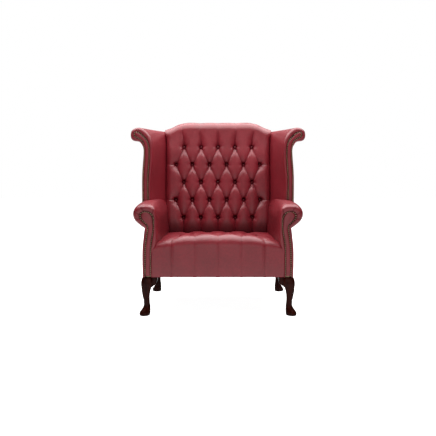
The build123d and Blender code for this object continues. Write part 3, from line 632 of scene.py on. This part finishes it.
def seat_piece():
    columns, count = 301, 330
    across = np.linspace(-1, 1, columns)
    share, s = np.meshgrid(across, np.linspace(0, TOP_END, count), indexing="ij")
    x = share * (SEAT_HALF + 3.0 - 36.0 * np.clip(s - APRON_RUN - ROLL_RUN, 0, None) / ARM_RUN)

    buttons = [place for row in SEAT_ROWS for place in row]
    radius = 20 + 30 * ease(APRON_RUN + 20, TOP_START, s)
    fullness, pit, line, depth, _ = buttoning(x, s, seat_pleats(), buttons, radius)
    crease = line * np.clip(depth * 1.5, 0.1, 1.0)
    ridge = puckers(x, s, buttons, 46.0) * 0.5 * ease(APRON_RUN + 40, TOP_START, s)
    sink = SEAT_DEPTH * (1 - fullness) + 4.0 * pit - ridge * (1 - pit) + 3.4 * crease
    for px, _ in SEAT_ROWS[0]:
        dip = 6.0 if abs(px) > 200 else 2.0
        sink += dip * np.exp(-((x - px) / 22.0) ** 2) * np.exp(-((s - TOP_START) / 24.0) ** 2)
    side = np.clip((np.abs(share) - 0.93) / 0.07, 0, 1)
    sink += 9.0 * side**2 * ease(APRON_RUN, TOP_START, s)
    # Painted shade: darker in the pleat valleys, the button pits and the creases
    painted_shade = np.clip((1 - fullness) ** 2.6 * 1.1 + pit * 0.5 + crease * 0.8, 0, 1)

    base = seat_surface(x, s)
    normal = np.cross(np.gradient(base, axis=0), np.gradient(base, axis=1))
    normal /= np.maximum(np.linalg.norm(normal, axis=2, keepdims=True), 1e-9)
    grid = base - normal * sink[..., None]
    # Small points on the bottom edge where the pleats end
    for px, _ in SEAT_ROWS[0]:
        tip = np.exp(-((x - px) / 7.0) ** 2) * (1 - ease(0, 12, s))
        grid[..., 2] -= 2.5 * tip
    grid[..., 2] = np.maximum(grid[..., 2], LEG_HEIGHT - 2.5)

    y, z = SEAT_UNDER.T
    half = SEAT_HALF - 26.0 * np.maximum(y - 60, 0) / ARM_RUN
    lower = np.stack(np.broadcast_arrays(across[:, None] * half, y, z), axis=-1)
    leather("tufted_seat", *closed_form(grid, lower, painted_shade), ("seat_cover", "seat_foam"), padded=0.9)

    studs = []
    for px, ps in buttons:
        near_x = np.array([[px - 1, px + 1]] * 2, float)
        near_s = np.array([[ps] * 2, [ps + 2] * 2], float)
        here = seat_surface(near_x, near_s)
        n = np.cross(here[0, 1] - here[0, 0], here[1, 0] - here[0, 0])
        n /= np.linalg.norm(n)
        studs.append(set_on(covered_button(5.5), here[0, 0] - n * (SEAT_DEPTH + 0.5), n))
    # Painted shade on the buttons, a little darker in their pits
    leather("seat_studs", joined(studs), 0.3, ("seat_buttons",))


# Arms. Each row has x and z on the contour of the roll and wall, then on the nail line beside it.

ARM_PAIRS = rows(
    (413.5, 503, 397.5, 512), (420, 507, 399, 519), (432, 515, 404, 526.5), (452.5, 531, 417, 538),
    (468.5, 547, 429, 550), (477, 564.5, 436.5, 562), (479.5, 583, 438.5, 572), (476.5, 600, 436, 581),
    (467, 614, 430, 589.5), (454, 624, 420, 594), (438, 629, 412, 596), (420, 631, 403, 596),
    (396, 631, 393, 594), (376, 626, 381, 588), (361, 616, 373, 579.5), (352, 599, 367, 571),
    (349, 575, 364.4, 560), (348.5, 554, 363.8, 545), (348, 520, 363.7, 514), (347.5, 490, 365, 494),
    (347.5, 465, 368.3, 472), (348, 443, 372.3, 453), (349.5, 422, 377, 430), (354, 402, 379, 410),
    (363, 384, 380.5, 394), (374, 360, 382, 360), (375, 300, 383, 300), (375, 222, 384, 222),
)
OUTER_PAIRS = rows(
    (431, 222, 415, 222), (432, 300, 414.5, 300), (431.5, 350, 413, 350), (429.5, 391, 412, 384),
    (424.5, 432, 408, 420), (419.5, 473, 402, 463), (415.5, 500, 397, 493), (414, 514, 397.5, 512),
)
# Share of the way from the nail line to the contour, and depth there
ARM_BORDER = (
    (0.0, 3.0), (0.08, -0.5), (0.2, -2.6), (0.34, -3.8), (0.48, -4.0), (0.62, -3.2), (0.74, -1.6),
    (0.84, 0.8), (0.92, 4.2), (0.97, 8.5), (1.0, 13.0),
)
OUTER_BORDER = (
    (0.0, 3.0), (0.12, -0.6), (0.3, -2.4), (0.5, -2.6), (0.7, -1.2), (0.86, 1.6), (0.96, 5.0), (1.0, 9.0),
)
ARM_CENTRE = np.array([405.0, 560.0])
# Height at which the hidden way back under the roll passes
ARM_RETURN_Z = 480.0
# Places of the small pleats along the nail line
ARM_PLEATS = (60, 84, 113, 159)


def along_pleats(run, width):
    """Narrow grooves at the arm's pleats along a run."""
    total = np.zeros_like(run)
    for place in ARM_PLEATS:
        total += np.exp(-((run - place) / width) ** 2)
    return total


def with_depth(line, plane, out):
    return np.stack([line[:, 0], plane(line[:, 1]) - out, line[:, 1]], axis=1)


def border_rings(contour, nail, border, plane, dark):
    """Rings from the nail line, over the border and out to the contour, with their painted shade values: dark
    at the nail line and fading out over the share given by dark.
    """
    rings = [with_depth(nail + (contour - nail) * share, plane, -depth) for share, depth in border]
    painted_shades = [np.full(len(nail), 0.95 * (1 - float(ease(0, dark, share)))) for share, _ in border]
    return rings, painted_shades


def way_back(rings, waypoints):
    """The hidden way from each ring's last point back to its first."""
    lines = [np.array([ring[-1], *waypoints(ring[-1], ring[0]), ring[0]]) for ring in rings]
    return np.array([even_line(line, 10)[1:-1] for line in lines])


def shoulder_drop(x):
    """How much lower the inner shoulder of the arm is at the rear."""
    return 5.0 * np.clip((410 - x) / 25, 0, 1) + 36.0 * np.clip((380 - x) / 42, 0, 1) ** 1.6


def pad_end(z):
    """Depth at which the arm pads end, in front of the outside back."""
    return rake_depth(z, 4.0) - 16.0


def arm_piece(side, name):
    count = 240
    fine = smooth_line(ARM_PAIRS, count)
    contour, nail = fine[:, :2], fine[:, 2:]
    across, z = contour.T
    run = np.concatenate([[0], np.cumsum(np.linalg.norm(np.diff(nail, axis=0), axis=1))])
    foot = ease(470, 400, z) * (across < 400)
    groove = along_pleats(run, 2.8)

    # Hidden inner end, the border from the nail line out to the edge, then the run to the rear
    rings = [np.stack([nail[:, 0], np.full(count, 26.0), nail[:, 1]], axis=1)]
    # Painted shade: dark on the hidden end, dark at the nail line fading over the border, and darker in the
    # small pleats
    painted_shades = [np.full(count, 0.9)]
    for share, depth in ARM_BORDER:
        line = nail + (contour - nail) * share
        y = np.full(count, depth) + groove * 2.6 * math.sin(math.pi * min(share * 1.1, 1.0)) * (1 - foot)
        rings.append(np.stack([line[:, 0], y, line[:, 1]], axis=1))
        fade = math.sin(math.pi * share) ** 0.7
        painted_shades.append(np.clip(0.95 * (1 - ease(0, 0.3, share)) + groove * 0.5 * fade, 0, 1))

    away = contour - ARM_CENTRE
    away /= np.linalg.norm(away, axis=1, keepdims=True)
    upper, shoulder = ease(440, 520, z), ease(520, 600, z)
    # Share of painted shade on the inner wall below the roll
    inner_wall_shade = ease(395, 350, across) * ease(600, 540, z)
    swell = np.stack([np.where(away[:, 0] < 0, 0.08, 0.35), np.ones(count)], axis=1)
    tuck = np.where(z > 520, 14.0, 14.0 + 16.0 * ease(520, 400, z))
    y_near = ARM_BORDER[-1][1]
    y_far = pad_end(z + 8 - shoulder_drop(across + 14) * shoulder)
    for share in np.concatenate([np.linspace(0.012, 0.14, 14), np.linspace(0.16, 1.0, 46)]):
        y = y_near + (y_far - y_near) * share
        behind = y - y_near
        bloom = 14.5 * np.sqrt(1 - (1 - np.clip(behind / 160.0, 0, 1)) ** 2)
        line = contour + away * (bloom * upper)[:, None] * swell
        line = line - np.stack([tuck * y / ARM_RUN, np.zeros(count)], axis=1)
        line[:, 1] -= shoulder_drop(line[:, 0]) * ease(20, 240, y) * shoulder
        grown = along_pleats(run, 5.0) * np.exp(-behind / 26.0) * 1.6
        line = line - away * (grown * upper)[:, None]
        rings.append(np.stack([line[:, 0], y, line[:, 1]], axis=1))
        # Painted shade in the small pleats just behind the border, and on the inner wall, growing towards the
        # rear
        painted_shades.append(groove * 0.3 * np.exp(-behind / 10.0) + 0.3 * inner_wall_shade * ease(0, 220, y))
    # Leather turned in over the rear end
    last = rings[-1]
    for back, shrink in ((5.0, 0.985), (8.5, 0.95), (10.0, 0.88)):
        x, z = 412 + (last[:, 0] - 412) * shrink, 560 + (last[:, 2] - 560) * shrink
        rings.append(np.stack([x, last[:, 1] + back, z], axis=1))
        painted_shades.append(np.zeros(count))

    def waypoints(a, b):
        middle = min((a[1] + b[1]) / 2, float(pad_end(ARM_RETURN_Z)))
        return (390, a[1], a[2] + 2), (396, middle, ARM_RETURN_Z), (402, b[1], b[2] - 2)

    rings = np.array(rings)
    shape, painted_shade = closed_form(rings, way_back(rings, waypoints), np.array(painted_shades))
    leather(f"{name}_arm_pad", shape, painted_shade, (f"{name}_inside_arm",), side, 0.85)


def outer_panel(side, name):
    """Outside of the arm, its front edge turned round to the nail line."""
    x_rear, x_hidden = 427.0, 419.0
    count = 90
    fine = smooth_line(OUTER_PAIRS, count)
    x_front, z = fine[:, :2].T
    # Painted shade at the nail line, fading over the first share of the border
    rings, painted_shades = border_rings(fine[:, :2], fine[:, 2:], OUTER_BORDER, np.zeros_like, 0.4)
    y_far = rake_depth(z, 0.0)
    for share in np.linspace(0.02, 1.0, 60):
        x = x_front + (x_rear - x_front) * ease(0, 1, share) * 0.9
        x = x + np.sin(math.pi * share) * np.sin(math.pi * (z - LEG_HEIGHT) / 300.0)
        x = x + 0.5 * np.sin(z / 9.0 + 2.0 * share) * np.exp(-((share - 0.5) / 0.5) ** 2) * 0.6
        rings.append(np.stack([x, 9.0 + (y_far - 11.0) * share, z], axis=1))
        painted_shades.append(np.zeros(count))
    rings = np.array(rings)
    inside = rings.copy()
    inside[:, :, 0] = np.minimum(rings[:, :, 0] - 7.0, x_hidden)
    inside[:, :, 1] = np.maximum(rings[:, :, 1], 6.0)
    shape, painted_shade = closed_form(rings, inside[:, ::-1], np.array(painted_shades))
    leather(f"{name}_outer_panel", shape, painted_shade, (f"{name}_outside_arm",), side)


# Facings and nails

ARM_OUTER_LINE = rows(
    (415, 231), (414.5, 300), (413, 350), (412, 384), (408, 420), (402, 463), (397, 492), (397.5, 514),
    (403, 525.5), (418, 539), (430, 551), (436.5, 562), (438.5, 571), (436, 581), (430, 589.5), (420, 594),
    (408, 596.5),
)
ARM_INNER_LINE = rows(
    (384, 231), (383, 300), (382, 360), (380.5, 394), (377, 430), (371, 460), (367, 479), (364.5, 500),
    (363.7, 520), (363.7, 540), (364.4, 562), (369, 574.5), (377.5, 585), (386, 591), (397, 595),
    (408, 596.5),
)
ARM_FOOT_LINE = rows((384, 231), (415, 231))
NAIL_PROFILE = ((0.35, 0.95), (0.68, 0.74), (0.9, 0.42), (1.0, 0.05), (0.86, -0.5))
NAIL_RADIUS, NAIL_HEIGHT, NAIL_PITCH = 3.2, 3.2, 11.6


def facing_mesh(outer, inner, plane, crown):
    """Raised leather between two nail lines that meet at the top."""
    count, wide = 150, 17
    a, b = smooth_line(outer, count), smooth_line(inner, count)
    across = np.linspace(0, 1, wide)
    front = np.empty((count, wide, 3))
    span = np.linalg.norm(a - b, axis=1)
    for k, t in enumerate(across):
        rise = crown * (1 - abs(2 * t - 1) ** 2.6) * np.clip(span / 26.0, 0, 1) ** 0.5
        front[:, k] = with_depth(a + (b - a) * t, plane, rise)
    rear = front[:, ::-1].copy()
    rear[:, :, 1] = plane(rear[:, :, 2]) + 9.0
    # Painted shade towards both nail lines
    painted_shade = np.tile(ease(0.62, 0.88, np.abs(2 * across - 1)), (count, 1))
    return closed_form(front, rear, painted_shade)


def nail_row(line, normal):
    """Nails at an even pitch along a line of three-dimensional points, each a little askew."""
    count = max(int(round(line_length(line) / NAIL_PITCH)), 1) + 1
    parts = []
    for point in even_line(line, count):
        tilt = np.asarray(normal, float) + rng.normal(0, 0.06, 3)
        parts.append(set_on(dome(NAIL_PROFILE, 10, NAIL_RADIUS, NAIL_HEIGHT), point, tilt))
    return parts


def nailed_front(side, name, part, lines, plane, crown, proud, normal, foot=None):
    """Facing of an arm or wing, with nails along both its lines and along its foot if it has one."""
    leather(f"{name}_{part}_front", *facing_mesh(*lines, plane, crown), (f"{name}_{part}_facing",), side)
    outer, inner = (smooth_line(line, 200 if part == "arm" else 240) for line in lines)
    parts = nail_row(with_depth(np.vstack([outer, inner[::-1][1:]]), plane, proud), normal)
    if foot is not None:
        parts += nail_row(with_depth(even_line(foot, 20), plane, proud), normal)[1:-1]
    build(f"{name}_{part}_nails", joined(parts), BRASS, side=side)


def arm_front(side, name):
    def plane(z):
        return np.zeros_like(z) - 1.0

    lines = ARM_OUTER_LINE, ARM_INNER_LINE
    nailed_front(side, name, "arm", lines, plane, crown=6.0, proud=2.2, normal=(0, -1, 0), foot=ARM_FOOT_LINE)


# Wings. Each row has x and z on the contour, on the nail line beside it, and at the rear end of the wing.

WING_SETS = rows(
    (465, 981, 453, 985, 410, 975), (474, 992, 459, 998, 410, 985), (485, 998, 467, 1006, 410.5, 995),
    (495, 999, 478, 1015, 411, 1002), (505, 1000, 488, 1020.5, 411.5, 1009),
    (515, 1003, 497, 1025, 412, 1016), (525, 1011, 504, 1030, 413, 1024), (531, 1025, 508, 1036, 413, 1032),
    (532, 1041, 508.5, 1043, 412.5, 1041), (529, 1058, 505, 1049, 411, 1050),
    (519, 1071, 499, 1052, 407.5, 1062), (506, 1079, 491, 1052.5, 403, 1072),
    (492, 1082.5, 483, 1050, 396, 1079), (478, 1082.5, 474, 1046.5, 388, 1084),
    (463, 1078, 466, 1041, 378, 1084), (446, 1067.5, 456, 1031, 367, 1080), (429, 1052, 446, 1020, 354, 1068),
    (415, 1034, 437, 1010, 350, 1050), (405, 1014, 430, 999, 348.5, 1030), (398, 994, 425, 986, 348.5, 1010),
    (394.5, 972, 420.5, 970, 347.5, 990), (393, 946, 418.5, 946, 347, 965), (393, 920, 418, 920, 346.5, 935),
    (394, 895, 418.5, 895, 346, 905), (396.5, 851, 421, 851, 344, 858), (402, 800, 424.5, 800, 343, 805),
    (405.5, 760, 426, 760, 342.5, 765), (406, 700, 425.5, 700, 341, 704), (403, 646, 423.8, 646, 340, 648),
    (400, 600, 422, 600, 339, 600),
)
WING_OUTER_SETS = rows(
    (463, 600, 452, 600, 413, 600), (461.5, 646, 452.6, 646, 413, 646), (462, 720, 453.5, 720, 413, 720),
    (461.5, 792, 453.5, 792, 412.5, 792), (458.5, 851, 450, 851, 412, 851), (455, 895, 446.5, 895, 412, 895),
    (453, 929, 446, 925, 411.5, 929), (453, 946, 446, 946, 411, 946), (457, 968, 448, 967, 411, 965),
    (464, 986, 453.5, 986, 410.5, 978),
)
WING_OUTER_LINE = rows(
    (452.6, 640), (453.5, 720), (453.5, 792), (450, 851), (446.5, 895), (446, 925), (446, 946), (448, 967),
    (453, 985), (459, 998), (467, 1006), (478, 1015), (488, 1020.5), (497, 1025), (504, 1030), (508, 1036),
    (508.5, 1043), (505, 1049), (499, 1052),
)
WING_INNER_LINE = rows(
    (423.8, 640), (425.5, 700), (426, 760), (424.5, 800), (421, 851), (418.5, 895), (418, 920), (418.5, 946),
    (420.5, 970), (425, 986), (430, 999), (437, 1010), (446, 1020), (456, 1031), (466, 1041), (474, 1046.5),
    (483, 1050), (491, 1052.5), (499, 1052),
)
WING_BORDER = (
    (0.0, 3.0), (0.07, -0.4), (0.18, -2.8), (0.33, -4.4), (0.48, -4.8), (0.62, -4.0), (0.75, -2.0),
    (0.86, 1.4), (0.94, 5.6), (0.985, 10.5), (1.0, 15.0),
)


def wing_front_depth(z):
    return 240.0 + 0.12 * (np.asarray(z, float) - 646.0)


def wing_rings(sets, count, bow):
    """Rings of a wing part from its nail line, over the border, and back to the outside back."""
    fine = smooth_line(sets, count)
    contour, nail, rear = fine[:, :2], fine[:, 2:4], fine[:, 4:]
    # Painted shade: dark on the hidden ring by the nail line, and at the nail line fading over the border
    border, border_shades = border_rings(contour, nail, WING_BORDER, wing_front_depth, 0.34)
    rings = [with_depth(nail, wing_front_depth, -24.0), *border]
    painted_shades = [np.full(count, 0.9), *border_shades]
    y_near = wing_front_depth(contour[:, 1]) + WING_BORDER[-1][1]
    y_far = rake_depth(rear[:, 1], 3.0)
    for share in np.concatenate([np.linspace(0.02, 0.2, 10), np.linspace(0.24, 1.0, 34)]):
        line = contour + (rear - contour) * share
        x = line[:, 0] - bow * math.sin(math.pi * share) ** 0.8
        rings.append(np.stack([x, y_near + (y_far - y_near) * share, line[:, 1]], axis=1))
        painted_shades.append(np.zeros(count))
    return np.array(rings), np.array(painted_shades)


def wing_piece(side, name):
    def waypoints(a, b):
        x = max(a[0] + 14, b[0] - 22)
        return (x, a[1], a[2] + 4), (x, (a[1] + b[1]) / 2, 800.0), (b[0] - 20, b[1], b[2] - 10)

    rings, painted_shades = wing_rings(WING_SETS, 260, -2.5)
    shape, painted_shade = closed_form(rings, way_back(rings, waypoints), painted_shades)
    leather(f"{name}_wing_pad", shape, painted_shade, (f"{name}_inside_wing",), side, 0.85)

    rings, painted_shades = wing_rings(WING_OUTER_SETS, 80, 1.5)
    inside = rings.copy()
    inside[:, :, 0] -= 8.0
    inside[:, :, 1] = np.maximum(rings[:, :, 1], wing_front_depth(rings[:, :, 2]) + 6.0)
    shape, painted_shade = closed_form(rings, inside[:, ::-1], painted_shades)
    leather(f"{name}_wing_panel", shape, painted_shade, (f"{name}_outside_wing",), side)

    def plane(z):
        return wing_front_depth(z) - 1.0

    lines = WING_OUTER_LINE, WING_INNER_LINE
    nailed_front(side, name, "wing", lines, plane, crown=6.5, proud=2.4, normal=(0, -1, -0.12))


# Outside back and dust cover

REAR_SIDE = rows(
    (425, 222), (425, 500), (424, 560), (418, 620), (412, 680), (410, 800), (409, 950), (409, 1010),
    (407, 1050), (398, 1072), (380, 1079), (362, 1082), (345, 1087), (318, 1099), (290, 1112),
    (262, 1125), (238, 1131), (200, 1132), (100, 1133),
)


def rear_panel():
    line = smooth_line(REAR_SIDE, 240)
    t, x_half = np.meshgrid(np.linspace(-1, 1, 121), line[:, 0], indexing="xy")
    x, z = t * x_half, np.repeat(line[:, 1:], 121, axis=1)
    edge = np.clip((1 - np.abs(t)) / 0.06, 0, 1)
    full = 5.0 * np.sin(math.pi * np.clip((z - LEG_HEIGHT) / 900, 0, 1)) * (1 - t**2)
    proud = 1.0 - 2.0 * (1 - pillow(edge))
    front = np.stack([x, rake_depth(z, 0.0) + proud + np.minimum(full * 0.25, 1.0), z], axis=-1)
    inner = np.stack([x, rake_depth(z, 5.0), z], axis=-1)
    # Painted shade along the panel's rounded side edges
    leather("rear_panel", *closed_form(front, inner[:, ::-1], 0.5 * (1 - edge)), ("outside_back",))

    inset = smooth_line(REAR_SIDE[:12], 200)
    path = np.stack([inset[:, 0] - 7.0, rake_depth(inset[:, 1], 0.0) + 0.2, inset[:, 1]], axis=1)
    parts = nail_row(path, (0, 1, 0)) + nail_row(path * (-1, 1, 1), (0, 1, 0))
    build("rear_nails", joined(parts), BRASS)


def cloth_under():
    """Thin cloth under the seat, cut out at the corners where the legs are."""
    columns, count = 90, 70
    half, front, rear = 416, 10, 572
    x_line, y_line = np.linspace(-half, half, columns), np.linspace(front, rear, count)
    x, y = np.meshgrid(x_line, y_line, indexing="ij")
    sag = 3.0 * np.cos(math.pi * x / 840) * np.sin(math.pi * (y - front) / (rear - front))
    ripple = 0.4 * np.sin(x / 23 + y / 61) * np.exp(-(np.minimum(y - front, rear - y) / 40) ** 2)
    lower = np.stack([x, y, 221.0 - 0.4 * sag - ripple], axis=-1)
    keep = (np.abs(x) < 352) | ((y > 95) & (y < 485))
    index = -np.ones(x.shape, int)
    verts, faces = [], []
    for i in range(columns - 1):
        for j in range(count - 1):
            if keep[i:i + 2, j:j + 2].all():
                faces.append([])
                for corner in ((i, j), (i + 1, j), (i + 1, j + 1), (i, j + 1)):
                    if index[corner] < 0:
                        index[corner] = len(verts)
                        verts.append(lower[corner])
                    faces[-1].append(int(index[corner]))
    piece = add_object("under_cloth", new_mesh("under_cloth", np.array(verts), faces, BLACK_CLOTH))
    piece.modifiers.new("thickness", "SOLIDIFY").thickness = 0.001
    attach(piece, "root")
    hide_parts("dust_cover")


# Legs. Each row has the height, inset, width and roundness, as shares of the leg's height and side.

LEG_STATIONS = rows(
    (1.0, 0.48, 1.02, 0.4), (0.955, 0.46, 1.12, 0.42), (0.91, 0.45, 1.2, 0.44), (0.86, 0.435, 1.24, 0.46),
    (0.81, 0.42, 1.22, 0.48), (0.75, 0.385, 1.1, 0.5), (0.69, 0.345, 0.98, 0.55), (0.62, 0.32, 0.87, 0.62),
    (0.56, 0.315, 0.79, 0.7), (0.49, 0.32, 0.72, 0.85), (0.43, 0.335, 0.67, 0.95), (0.37, 0.36, 0.63, 1.0),
    (0.32, 0.365, 0.64, 1.0), (0.27, 0.38, 0.66, 1.0), (0.23, 0.375, 0.71, 1.0), (0.19, 0.34, 0.79, 1.0),
    (0.15, 0.285, 0.89, 1.0), (0.11, 0.215, 0.99, 1.0), (0.07, 0.155, 1.05, 1.0), (0.045, 0.14, 1.06, 1.0),
    (0.02, 0.135, 1.04, 1.0), (0.006, 0.14, 0.99, 1.0), (0.0, 0.145, 0.92, 1.0),
)
LEG_SIDE = 55.0
BRACKET_CORNER = 432.0
# Distance along the rail from the corner, and how far down the bracket reaches there
BRACKET_DROP = ((14, 30, 36, 42, 53, 64, 72, 77, 83, 86, 87), (84, 84, 80, 70, 61, 53, 46.5, 42, 29, 14, 6))


def squircle(side, roundness):
    angle = np.arange(48) * 2 * math.pi / 48
    power = 2.0 + 5.0 * (1 - roundness)
    c, s = np.cos(angle), np.sin(angle)
    reach = (np.abs(c) ** power + np.abs(s) ** power) ** (-1 / power)
    return np.stack([c * reach, s * reach], axis=1) * side / 2


def leg_part(corner_x, corner_y, way_y):
    """Cabriole leg: knee, ankle and pad foot, which reaches out along the diagonal."""
    diagonal = np.array([1.0, -way_y]) / math.sqrt(2)
    rings = []
    for height, inset, side, roundness in smooth_line(LEG_STATIONS, 90):
        outline = squircle(side * LEG_SIDE, min(roundness, 1.0))
        toe = 1 + 0.1 * ease(0.2, 0.06, height)
        outline = outline + np.outer((outline @ diagonal) * (toe - 1), diagonal)
        shift = (toe - 1) * side * LEG_SIDE * 0.25
        x = corner_x - inset * LEG_SIDE - shift + outline[:, 0]
        y = corner_y + way_y * (inset * LEG_SIDE + shift) + outline[:, 1]
        rings.append(np.stack([x, y, np.full(len(x), height * LEG_HEIGHT)], axis=1))
    return tube(np.array(rings))


def bracket_part(corner_y, way_y, along_x):
    """Curved knee bracket, full at the knee and fading out under the rail."""
    count = 26
    angle = np.linspace(0, 2 * math.pi, count, endpoint=False)
    c, s = np.cos(angle), np.sin(angle)
    start, end = BRACKET_DROP[0][0], BRACKET_DROP[0][-1]
    rings = []
    for share in np.linspace(0, 1, 30):
        reach = start + (end - start) * share
        drop = float(np.interp(reach, *BRACKET_DROP))
        depth = np.sign(c) * np.abs(c) ** 0.7 * (15.0 * (1 - 0.3 * share))
        height = LEG_HEIGHT - drop / 2 + np.sign(s) * np.abs(s) ** 0.6 * drop / 2
        out = 17.0 + depth * (0.85 + 0.15 * s)
        if along_x:
            x, y = np.full(count, BRACKET_CORNER - reach), corner_y + way_y * out
        else:
            x, y = BRACKET_CORNER - out, np.full(count, corner_y + way_y * reach)
        rings.append(np.stack([x, y, height], axis=1))
    return tube(np.array(rings))


def legs():
    for end, way_y, corner_x, corner_y in (("front", 1, 430.0, -2.0), ("rear", -1, 426.0, 581.0)):
        parts = [leg_part(corner_x, corner_y, way_y)]
        parts += [bracket_part(corner_y, way_y, along_x) for along_x in (True, False)]
        shape = joined([(verts, outward(verts, faces)) for verts, faces in parts])
        for side, name in SIDES:
            stands_for = (f"{end}_{name}_leg",)
            build(f"{end}_{name}_cabriole_leg", shape, MAHOGANY, stands_for, side=side)


# Stage

FLOOR_COLOUR = 0.85
# How bright the floor looks to the camera near the object and far from it, and to reflections
NEAR_GLOW, FAR_GLOW, MIRRORED_GLOW = 0.93, 1.0, 0.14
WORLD_LIGHT = 0.06
# Name, place, turn, width, depth and watts
LAMPS = (
    ("overhead", (0.0, 0.6, 3.0), (0, 0, 0), 4.5, 3.6, 345.0),
    ("front_fill", (0.0, -3.7, 1.1), (math.radians(84), 0, 0), 2.0, 1.15, 23.0),
)


def floor_material():
    material, tree, shader = new_material("floor")
    shader.inputs["Base Color"].default_value = (FLOOR_COLOUR, FLOOR_COLOUR, FLOOR_COLOUR, 1.0)
    shader.inputs["Roughness"].default_value = 0.9
    shader.inputs["Specular IOR Level"].default_value = 0.0
    path = node(tree, "ShaderNodeLightPath")
    mirrored = node(tree, "ShaderNodeMath", operation="MAXIMUM")
    link(path.outputs["Is Glossy Ray"], mirrored.inputs[0])
    link(path.outputs["Is Transmission Ray"], mirrored.inputs[1])
    seen = node(tree, "ShaderNodeMath", operation="MULTIPLY_ADD")
    seen.inputs[1].default_value = MIRRORED_GLOW
    link(mirrored.outputs[0], seen.inputs[0])
    link(path.outputs["Is Camera Ray"], seen.inputs[2])
    place = node(tree, "ShaderNodeTexCoord")
    far = node(tree, "ShaderNodeVectorMath", operation="LENGTH")
    link(place.outputs["Object"], far.inputs[0])
    spread = node(tree, "ShaderNodeMapRange")
    for socket, value in (("From Min", 0.8), ("From Max", 2.0), ("To Min", NEAR_GLOW), ("To Max", FAR_GLOW)):
        spread.inputs[socket].default_value = value
    link(far.outputs["Value"], spread.inputs["Value"])
    glowing = node(tree, "ShaderNodeMath", operation="MULTIPLY")
    link(spread.outputs["Result"], glowing.inputs[1])
    link(seen.outputs[0], glowing.inputs[0])
    shader.inputs["Emission Color"].default_value = (1, 1, 1, 1)
    link(glowing.outputs[0], shader.inputs["Emission Strength"])
    return material


def stage():
    mesh = bpy.data.meshes.new("floor")
    mesh.from_pydata([(-9, -9, 0), (9, -9, 0), (9, 9, 0), (-9, 9, 0)], [], [(0, 1, 2, 3)])
    mesh.materials.append(floor_material())
    add_object("floor", mesh)

    world = bpy.data.worlds.new("world")
    bpy.context.scene.world = world
    world.use_nodes = True
    tree = world.node_tree
    background = tree.nodes["Background"]
    background.inputs["Color"].default_value = (1, 1, 1, 1)
    seen = node(tree, "ShaderNodeLightPath").outputs["Is Camera Ray"]
    link(mapped(tree, seen, WORLD_LIGHT, 1.0), background.inputs["Strength"])

    for name, place, turn, width, depth, watts in LAMPS:
        data = bpy.data.lights.new(name, "AREA")
        data.shape = "RECTANGLE"
        data.size, data.size_y = width, depth
        data.energy = watts
        lamp = add_object(name, data)
        lamp.location = place
        lamp.rotation_euler = turn
    bpy.context.scene.view_settings.view_transform = "Standard"


def dress_frame():
    """Materials of the boards and webbing that stay as the frame has them."""
    for name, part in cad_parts.items():
        material = WEBBING if name.endswith("webbing") else BEECH
        part.data.materials.clear()
        part.data.materials.append(material)


add_camera()
dress_frame()
back_piece()
seat_piece()
for side, name in SIDES:
    arm_piece(side, name)
    outer_panel(side, name)
    arm_front(side, name)
    wing_piece(side, name)
rear_panel()
cloth_under()
legs()
stage()
